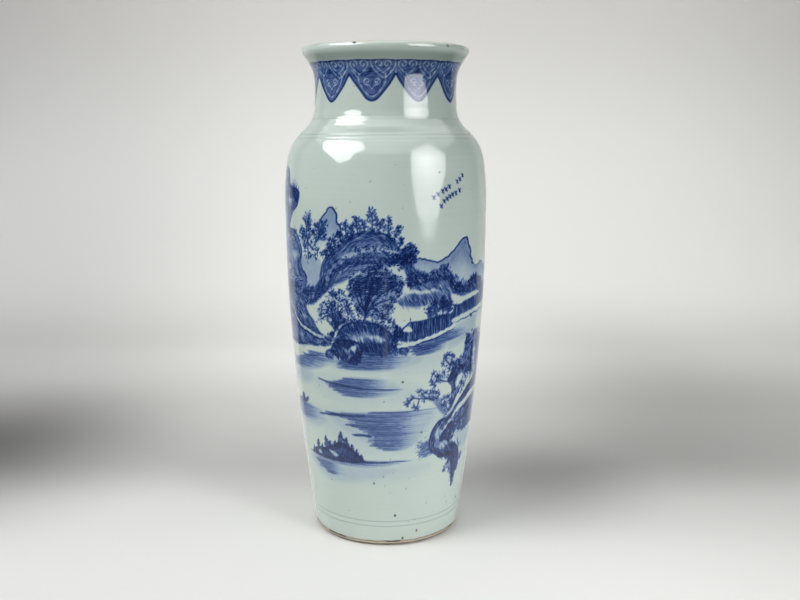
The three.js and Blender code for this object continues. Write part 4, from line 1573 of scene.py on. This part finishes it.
# %% Fired slip
def fired_slip():
    """Slip that squeezed out inside the joint and was wiped: matt, with finger streaks."""
    material, tree, add, maths, link = new_material("fired_slip")
    where = add("ShaderNodeTexCoord").outputs["Object"]
    streaks = noise(tree, where, 1, 3.0, (60, 60, 900))
    shader = add("ShaderNodeBsdfPrincipled")
    shader.inputs["Roughness"].default_value = 0.62
    link(mix(tree, streaks, colour(150, 152, 142), colour(174, 175, 165)), shader.inputs["Base Color"])
    bump = add("ShaderNodeBump")
    bump.inputs["Distance"].default_value = 0.0003
    link(streaks, bump.inputs["Height"])
    link(bump.outputs[0], shader.inputs["Normal"])
    link(shader.outputs[0], add("ShaderNodeOutputMaterial").inputs[0])
    return material


porcelain = glazed_porcelain()
slip = fired_slip()
print("materials:", porcelain.name, slip.name)

# %% [markdown]
# ## The four thrown sections
# Each section is a closed solid that is turned from one profile: up the outside, over its rim and
# down the inside. Two sections meet at the middle of their joint, and leave a groove inside for
# the ring of slip. Rows lie closer together beside each cut line.

# %% Profiles
STEPS = 504
FRONT = 0.38
JOINTS = (138, 268, 383)
GROOVE = 1.2
GLAZED_FROM = 2.8


def rows_between(low, high, gap):
    """Heights from low to high, crowded round each cut line."""
    even = np.linspace(low, high, round((high - low) / gap) + 1)
    close = [cut + step for cut in CUT_LINES for step in (-0.8, -0.5, -0.25, 0, 0.25, 0.5, 0.8)]
    close = [z for z in close if low + 1 < z < high - 1]
    even = [z for z in even if min(abs(z - CUT_LINES)) > 1.1]
    return np.array(sorted([*even, *close]))


def wall_up(low, high, gap):
    z = rows_between(low, high, gap)
    return list(zip(outside(z), z))


def wall_down(high, low, gap):
    z = np.linspace(high, low, max(2, round((high - low) / gap)))
    return list(zip(inside(z), z))


def rim_top(joint):
    """From the outside inwards over a section's top rim, with half of the slip's groove."""
    r = float(outside(joint)) - GROOVE
    return [(r, joint), (r, joint - 0.5)]


def rim_under(joint):
    """From the inside outwards under a section's bottom rim."""
    r = float(outside(joint)) - GROOVE
    return [(r, joint + 0.5), (r, joint)]


def foot_profile():
    """The foot section: recessed base, foot ring, wall up to the first joint, and the floor."""
    fillet = float(inside(26)) - 12
    base = [(0, 2.5), (20, 2.5), (44, 2.5), (51.2, 2.5), (51.7, 2.35), (53.2, 0.25), (53.7, 0)]
    ring = [(54.5, 0), (60, 0), (65.9, 0), (66.5, 0.12), (67.0, 0.5), (68.7, 2.2)]
    inner = wall_down(JOINTS[0] - 0.5, 26, 9)
    corner = arc(fillet, 26, 12, 0, -90, 8)[1:]
    floor = [(30, 14), (12, 14.05), (0, 14.1)]
    outer = wall_up(GLAZED_FROM, JOINTS[0], 0.95)
    return base + ring + outer + rim_top(JOINTS[0]) + inner + corner + floor


def wall_profile(joint, next_joint, gap):
    """A section of plain wall between two joints."""
    outer = wall_up(joint, next_joint, gap)
    inner = wall_down(next_joint - 0.5, joint + 0.5, 7)
    return [*outer, *rim_top(next_joint), *inner, *rim_under(joint), outer[0]]


def neck_profile():
    """The neck section, with the lip rolled over as one round arc."""
    outer = wall_up(JOINTS[2], FLARE_END[0], 0.52)[:-1]
    lip = arc(LIP_R, LIP_Z, LIP_ROLL, -35, 145, 26)
    inner = wall_down(FLARE_END[0], JOINTS[2] + 0.5, 2.2)[1:]
    return [*outer, *lip, *inner, *rim_under(JOINTS[2]), outer[0]]


def slip_profile(joint):
    """A thin ring in the groove, with the round bead that squeezed out inside."""
    r = float(outside(joint)) - GROOVE
    bore = float(inside(joint))
    bead = arc(bore, joint, 1.6, 120, 240, 8)
    low = (float(inside(joint - 0.5)), joint - 0.5)
    high = (float(inside(joint + 0.5)), joint + 0.5)
    return [low, (r, low[1]), (r, high[1]), high, *bead, low]


# %% Throw the sections
foot = turned("foot_skin", foot_profile(), STEPS, porcelain, FRONT)
middle_wall = wall_profile(JOINTS[0], JOINTS[1], 0.86)
middle = turned("middle_skin", middle_wall, STEPS, porcelain, FRONT)
shoulder_wall = wall_profile(JOINTS[1], JOINTS[2], 0.8)
shoulder = turned("shoulder_skin", shoulder_wall, STEPS, porcelain, FRONT)
neck = turned("neck_skin", neck_profile(), STEPS, porcelain, FRONT)
sections = [foot, middle, shoulder, neck]
rings = []
for i, joint in enumerate(JOINTS):
    rings.append(turned(f"slip_ring_{i}", slip_profile(joint), 160, slip))

# %% [markdown]
# ## Laying the painting on the clay
# Each outer point looks up its place on the unrolled walls and takes the layers there. Two
# attributes carry eight numbers: a colour for wash, ink, leaf and hair, and a vector for the
# comb and the iron. A third one marks pooled glaze in the cut lines, painted shade with some
# pooled glaze under the lip, the worn lip and its nicks.

# %% Read the paper at a point
def read(paper, layer, theta, z):
    """A layer's value at angles and heights, from the four cells around each place."""
    across = theta / TAU * paper.columns - 0.5
    up = (z - paper.low) / paper.cell - 0.5
    column, row = np.floor(across).astype(int), np.floor(up).astype(int)
    fx, fz = across - column, up - row
    value = np.zeros(len(theta))
    for dx, dz in ((0, 0), (1, 0), (0, 1), (1, 1)):
        inside_paper = (row + dz >= 0) & (row + dz < paper.rows)
        cell = layer[np.clip(row + dz, 0, paper.rows - 1), (column + dx) % paper.columns]
        value += np.where(inside_paper, cell, 0) * (fx if dx else 1 - fx) * (fz if dz else 1 - fz)
    return value


def points_of(mesh):
    """A mesh's points, in millimetres."""
    flat = np.empty(len(mesh.vertices) * 3, np.float32)
    mesh.vertices.foreach_get("co", flat)
    return flat.reshape(-1, 3) / MM


def lay(mesh, name, kind, values):
    """Store numbers on a mesh's points under a name."""
    attribute = mesh.attributes.new(name, kind, "POINT")
    field = "color" if kind == "FLOAT_COLOR" else "vector"
    attribute.data.foreach_set(field, np.ascontiguousarray(values, np.float32).ravel())


# %% Nicks, glaze pools, painted shade under the lip and the worn lip
NICKS = [(-0.34, 449.3, 1.6, 1.7), (0.8, 447.4, 1.1, 1.5), (2.4, 449.6, 1.2, 1.0)]
PAINTED = (2.7, 444)
POOL_WIDTH = 0.55


def chip(mesh, nick):
    """Sink the nicks of the rim into the clay by half a millimetre."""
    if not nick.any():
        return
    places = points_of(mesh)
    places[:, 2] -= 0.45 * nick
    places[:, :2] *= (1 - 0.5 * nick / LIP_R)[:, None]
    mesh.vertices.foreach_set("co", np.ascontiguousarray(places * MM, np.float32).ravel())
    mesh.update()


def nicks_at(theta, radius, z):
    """How deep in a nick of the rim each point lies, from 0 to 1."""
    nick = np.zeros(len(z))
    for angle, height, wide, tall in NICKS:
        aside = (np.mod(theta - angle + math.pi, TAU) - math.pi) * LIP_R
        off = np.hypot(aside / wide, (height - z) / tall)
        nick = np.maximum(nick, (1 - smooth(0.6, 1.1, off)) * (radius > LIP_R - 1))
    return nick


def pooled_glaze_and_lip_shade(radius, z, outer):
    """Where the glaze pools in the cut lines, and a band of painted shade with some pooled glaze under
    the lip's roll.
    """
    gaps = np.abs(z[:, None] - CUT_LINES)
    gap, depth = gaps.min(1), CUT_DEPTHS[gaps.argmin(1)] / CUT_DEPTHS[0]
    # painted shade: a darker band under the lip's roll stands in for the shade of the down-facing flare,
    # with some pooled glaze
    under_lip_pool_and_shade = smooth(430, 438, z) * (1 - smooth(440, 445, z)) * (radius > LIP_R - 8)
    return np.maximum(np.exp(-((gap / POOL_WIDTH) ** 2)) * outer * depth, 2.0 * under_lip_pool_and_shade)


def worn_crest(theta, radius, z):
    """Where the glaze runs thin: the lip's crest, and its outside on one half."""
    one_half = smooth(-0.3, 0.6, np.sin(theta + 0.2)) * (radius > LIP_R)
    return np.maximum(smooth(448.2, 449.6, z), 0.7 * smooth(445.5, 448.5, z) * one_half)


# %% Lay the painting
def decorate(piece):
    """Lay the walls' layers and the marks of the glaze on one section."""
    x, y, z = points_of(piece.data).T
    theta, radius = np.arctan2(x, -y), np.hypot(x, y)
    skin = outside(np.clip(z, GLAZED_FROM, FLARE_END[0]))
    outer = (np.abs(radius - skin) < 0.6) & (z > PAINTED[0]) & (z < PAINTED[1])
    paint, comb = np.zeros((len(x), 4)), np.zeros((len(x), 3))
    for paper in (wall, collar):
        for i, layer in enumerate((paper.wash, paper.ink, paper.leaf, paper.hair)):
            paint[:, i] += read(paper, layer, theta, z) * outer
        for i, layer in enumerate((paper.across, paper.along, paper.iron)):
            comb[:, i] += read(paper, layer, theta, z) * outer
    lay(piece.data, "paint", "FLOAT_COLOR", paint)
    lay(piece.data, "comb", "FLOAT_VECTOR", comb)

    nick = nicks_at(theta, radius, z)
    chip(piece.data, nick)
    marks = [pooled_glaze_and_lip_shade(radius, z, outer), worn_crest(theta, radius, z), nick]
    lay(piece.data, "surface", "FLOAT_VECTOR", np.stack(marks, 1))


for section in sections:
    decorate(section)
print("painting laid on", sum(len(s.data.vertices) for s in sections), "points")

# %% [markdown]
# ## The studio
# The photographer's backdrop is one sheet of pale paper that curves up behind the vase, so there
# is no line between floor and wall. The paper is a swept strip. Its colour holds painted light and
# shade: a band of painted shade on the floor behind the vase, painted shade higher up and towards
# the sides, painted shadows in soft ovals and a painted pool of light behind the vase. In the
# glaze it would mirror as a grey veil over the cobalt, so mirror rays see it dimmer, as if the room
# in front were dark. Only straight behind the vase do they see it pale, which draws the thin bright
# band down each side of the glaze.

# %% Backdrop
# Painted shade: the floor's tones from front to back, darkest in a band just behind the vase.
FLOOR_TONES_AND_SHADE = ((0.11, 212), (0.19, 206), (0.25, 184), (0.34, 192), (0.5, 220), (0.7, 244), (0.96, 242))
# Painted shadows and light on the paper, each a centre, a reach and a strength at its heart: dark patches
# at the back left and right, the vase's cast shadow just behind it on the right, and a pool of light
# behind it.
PAINTED_SHADOWS_AND_LIGHT = [
    ((-0.5, 0.2), (0.3, 0.34), 0.26),
    ((-0.65, 0.9), (0.5, 0.9), 0.8),
    ((0.38, 0.5), (0.3, 0.5), 0.86),
    ((0.17, 0.09), (0.15, 0.17), 0.74),
    ((0.0, 0.6), (0.5, 0.6), 1.28),
]
PALE_BAND = (1.45, 1.2)


def soft_rise(tree, value, low, high, first=0.0, last=1.0):
    return rise(tree, value, low, high, first, last, "SMOOTHSTEP")


def painted_light_and_shade(tree, paper, where, centre, reach, heart):
    """Painted shadow where heart is under 1, painted light where it is over 1, in one soft oval of the
    floor.
    """
    offset = vector_maths(tree, "SUBTRACT", where, (*centre, 0))
    scaled = vector_maths(tree, "MULTIPLY", offset, (1 / reach[0], 1 / reach[1], 0))
    away = vector_maths(tree, "LENGTH", scaled)
    return mix(tree, 1, paper, soft_rise(tree, away, 0, 1, heart), "MULTIPLY")


def lit_paper(tree, where, x, y, z):
    """What the eye sees of the sheet: its tones with painted shade from front to back, up the wall and to
    the sides, and painted shadows and light in ovals.
    """
    add, maths, link = node_helpers(tree)
    depth = add("ShaderNodeValToRGB")
    link(maths("DIVIDE", maths("ADD", y, 0.4), 2.2), depth.inputs[0])
    for stop, _ in FLOOR_TONES_AND_SHADE[1:-1]:
        depth.color_ramp.elements.new(stop)
    for element, (stop, grey) in zip(depth.color_ramp.elements, FLOOR_TONES_AND_SHADE):
        element.position, element.color = stop, colour(grey, grey, grey - 2)
    depth.color_ramp.interpolation = "EASE"
    # painted shade: the wall darker higher up
    upwards = soft_rise(tree, z, 0.2, 0.8)
    paper = mix(tree, upwards, depth.outputs[0], colour(214, 213, 210))
    # painted shade: the paper darker towards the sides
    aside = soft_rise(tree, maths("ABSOLUTE", maths("SUBTRACT", x, 0.25), 0), 0.3, 1.5)
    paper = mix(tree, aside, paper, colour(212, 212, 214), "MULTIPLY")
    for centre, oval, heart in PAINTED_SHADOWS_AND_LIGHT:
        paper = painted_light_and_shade(tree, paper, where, centre, oval, heart)
    return paper


def mirrored_paper(tree, reach, x, y):
    """What the glaze mirrors: dark, but pale close by and straight behind the vase."""
    _, maths, _ = node_helpers(tree)
    near = soft_rise(tree, reach, 0.7, 0.15)
    mirrored = mix(tree, near, colour(80, 82, 82), colour(225, 225, 222))
    slant = maths("DIVIDE", maths("ABSOLUTE", x, 0), maths("MAXIMUM", y, 0.02))
    return mix(tree, soft_rise(tree, slant, *PALE_BAND), mirrored, colour(236, 236, 233))


def paper_glow(tree, reach, y, seen):
    """A little light of its own where the camera looks past the lamps."""
    _, maths, _ = node_helpers(tree)
    behind = soft_rise(tree, y, 0.25, 1.3)
    in_front = maths("SUBTRACT", 1, behind)
    edges = maths("MULTIPLY", maths("MULTIPLY", soft_rise(tree, reach, 0.9, 3.2), in_front), 0.42)
    return maths("MULTIPLY", seen, maths("ADD", maths("MULTIPLY", behind, 0.1), edges))


def backdrop_paper():
    """Matt paper that looks one way to the camera, another to the glaze and plain to the rest."""
    material, tree, add, _, link = new_material("backdrop_paper")
    where = add("ShaderNodeTexCoord").outputs["Object"]
    position = add("ShaderNodeSeparateXYZ")
    link(where, position.inputs[0])
    x, y, z = position.outputs
    reach = vector_maths(tree, "LENGTH", where)
    rays = add("ShaderNodeLightPath").outputs
    paper = lit_paper(tree, where, x, y, z)
    paper = mix(tree, rays["Is Camera Ray"], colour(240, 240, 237), paper)
    paper = mix(tree, rays["Is Glossy Ray"], paper, mirrored_paper(tree, reach, x, y))
    shader = add("ShaderNodeBsdfPrincipled")
    shader.inputs["Roughness"].default_value = 0.9
    shader.inputs["Specular IOR Level"].default_value = 0.1
    shader.inputs["Emission Color"].default_value = colour(250, 250, 246)
    link(paper, shader.inputs["Base Color"])
    link(paper_glow(tree, reach, y, rays["Is Camera Ray"]), shader.inputs["Emission Strength"])
    link(shader.outputs[0], add("ShaderNodeOutputMaterial").inputs[0])
    return material


def sweep_of_paper():
    """A strip that lies flat, bends up behind the vase and hangs from above. Metres."""
    half, back, bend, top, front = 3.4, 1.7, 0.9, 3.2, -3.0
    bent = arc(back - bend, bend, bend, -90, 0, 24)
    line_points = [(front, 0.0), (back - bend - 0.6, 0.0), *bent, (back, top)]
    points = [(x, y, z) for y, z in line_points for x in (-half, half)]
    faces = [(i, i + 1, i + 3, i + 2) for i in range(0, len(points) - 2, 2)]
    mesh = bpy.data.meshes.new("paper_sweep")
    mesh.from_pydata(points, [], faces)
    mesh.shade_smooth()
    mesh.materials.append(backdrop_paper())
    sheet = bpy.data.objects.new("paper_sweep", mesh)
    scene.collection.objects.link(sheet)
    return sheet


backdrop = sweep_of_paper()

# %% [markdown]
# ## The lamps
# Glaze is a mirror, so the photo shows where the lamps stood. Each bright patch was traced back
# off the turned wall: a soft box high on the left, and a tall panel near on the right. Their
# cloths hang unevenly and glow most in the middle, so they are sheets cut to that shape, which
# only the glaze sees.

# %% Lamps
CLOTH_RINGS = 8
GLOW_REACH = 0.4


def aimed(place, target):
    """The turn that points a lamp at a target."""
    return (Vector(target) - Vector(place)).to_track_quat("-Z", "Y")


def lamp(name, place, target, watts, size):
    """A round area lamp, in metres and watts."""
    data = bpy.data.lights.new(name, "AREA")
    data.shape = "DISK"
    data.size = size
    data.energy = watts
    light = bpy.data.objects.new(name, data)
    light.location = place
    light.rotation_euler = aimed(place, target).to_euler()
    scene.collection.objects.link(light)
    return light


def lit_cloth(name, place, target, outline, heart, even, peak):
    """A glowing sheet: its edge, its brightest place and two strengths, in metres on the sheet."""
    heart = Vector(heart)
    edge = curve([Vector(p) for p in outline], True, 3)
    steps = [k / CLOTH_RINGS for k in range(1, CLOTH_RINGS + 1)]
    flat = [heart, *(heart.lerp(Vector(p), share) for share in steps for p in edge)]
    count = len(edge)
    around = [(i, (i + 1) % count) for i in range(count)]
    faces = [(0, 1 + i, 1 + j) for i, j in around]
    for k in range(CLOTH_RINGS - 1):
        low, high = 1 + k * count, 1 + (k + 1) * count
        faces += [(low + i, high + i, high + j, low + j) for i, j in around]
    turn = aimed(place, target)
    mesh = bpy.data.meshes.new(name)
    mesh.from_pydata([Vector(place) + turn @ Vector((p.x, p.y, 0)) for p in flat], [], faces)
    glow = [even + (peak - even) * math.exp(-(((p - heart).length / GLOW_REACH) ** 2)) for p in flat]
    mesh.attributes.new("glow", "FLOAT", "POINT").data.foreach_set("value", glow)
    material, tree, add, _, link = new_material(name)
    light = add("ShaderNodeEmission")
    link(attribute(tree, "glow")["Fac"], light.inputs["Strength"])
    link(light.outputs[0], add("ShaderNodeOutputMaterial").inputs[0])
    mesh.materials.append(material)
    cloth = bpy.data.objects.new(name, mesh)
    scene.collection.objects.link(cloth)
    cloth.visible_diffuse = cloth.visible_camera = cloth.visible_shadow = False


BOX_PLACE, BOX_TARGET = (-1.15, -0.66, 1.38), (0, 0, 0.38)
BOX_EDGE = [
    (-0.69, -0.05), (-0.98, 0.45), (-0.73, 0.69), (-0.19, 0.79), (0.2, 0.76), (0.66, 0.37),
    (0.58, -0.12), (0.54, -0.55), (0.13, -0.68), (-0.22, -0.44),
]
PANEL_EDGE = [
    (0.25, 0.87), (0.46, 0.24), (0.43, -0.27), (0.31, -0.45), (0.17, -0.56), (0.19, -0.72),
    (0.16, -0.79), (0.05, -0.83), (-0.14, -0.849), (-0.3, -0.858), (-0.42, -0.852), (-0.54, -0.83),
    (-0.67, -0.79), (-0.71, -0.65), (-0.77, -0.43), (-0.745, -0.16), (-0.7, 0.05), (-0.43, 0.63),
    (-0.09, 0.74),
]
soft_box = lamp("soft_box", BOX_PLACE, BOX_TARGET, 27, 1.2)
side_fill = lamp("side_fill", (1.3, -0.7, 0.8), (0, 0, 0.34), 6.6, 0.9)
low_fill = lamp("low_fill", (0.7, -0.75, 0.45), (0.02, -0.02, 0.03), 0.46, 0.3)
low_fill.data.spread = math.radians(50)
for light in (soft_box, side_fill, low_fill):
    light.visible_glossy = False
lit_cloth("soft_box_cloth", BOX_PLACE, BOX_TARGET, BOX_EDGE, (-0.05, 0.15), 9, 12)
lit_cloth("panel_cloth", (1.19, -0.83, 0.88), (0, 0, 0.36), PANEL_EDGE, (-0.19, -0.02), 5.8, 11.5)
lamp("ceiling", (0, 0.1, 2.3), (0, 0.1, 0), 9, 2.2)
skylight = lamp("skylight", (0, -0.2, 2.2), (0, -0.2, 0), 90, 5.0)
skylight.visible_diffuse = False

# %% [markdown]
# The rest of the room is a dim grey that mirrors a little brighter on the left. The view
# transform is set to Standard, so a colour on the paper is the colour in the picture.

# %% Room
world = bpy.data.worlds.new("room")
scene.world = world
world.use_nodes = True
room = world.node_tree.nodes["Background"]
room.inputs["Color"].default_value = colour(228, 228, 226)
add, maths, link = node_helpers(world.node_tree)
seen = maths("MULTIPLY", add("ShaderNodeLightPath").outputs["Is Camera Ray"], 0.56)
side = add("ShaderNodeSeparateXYZ")
link(add("ShaderNodeTexCoord").outputs["Generated"], side.inputs[0])
shade = soft_rise(world.node_tree, side.outputs["X"], -0.6, 0.9, 0.44, 0.14)
link(maths("ADD", seen, shade), room.inputs["Strength"])
scene.view_settings.view_transform = "Standard"
print("room:", world.name, "under", scene.view_settings.view_transform)

# %% [markdown]
# ## The pieces on the body
# Every piece rides on the one fixed body, and the imported solid it stands in for is hidden.

# %% Ride and replace
STANDS_IN = [
    (foot, "foot_section", "glazed_porcelain"),
    (middle, "middle_section", "glazed_porcelain"),
    (shoulder, "shoulder_section", "glazed_porcelain"),
    (neck, "neck_section", "glazed_porcelain"),
    (rings[0], "lower_slip_joint", "fired_slip"),
    (rings[1], "upper_slip_joint", "fired_slip"),
    (rings[2], "neck_slip_joint", "fired_slip"),
]
for piece, node, slot in STANDS_IN:
    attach(piece, "root")
    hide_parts(node)

bpy.context.view_layer.update()
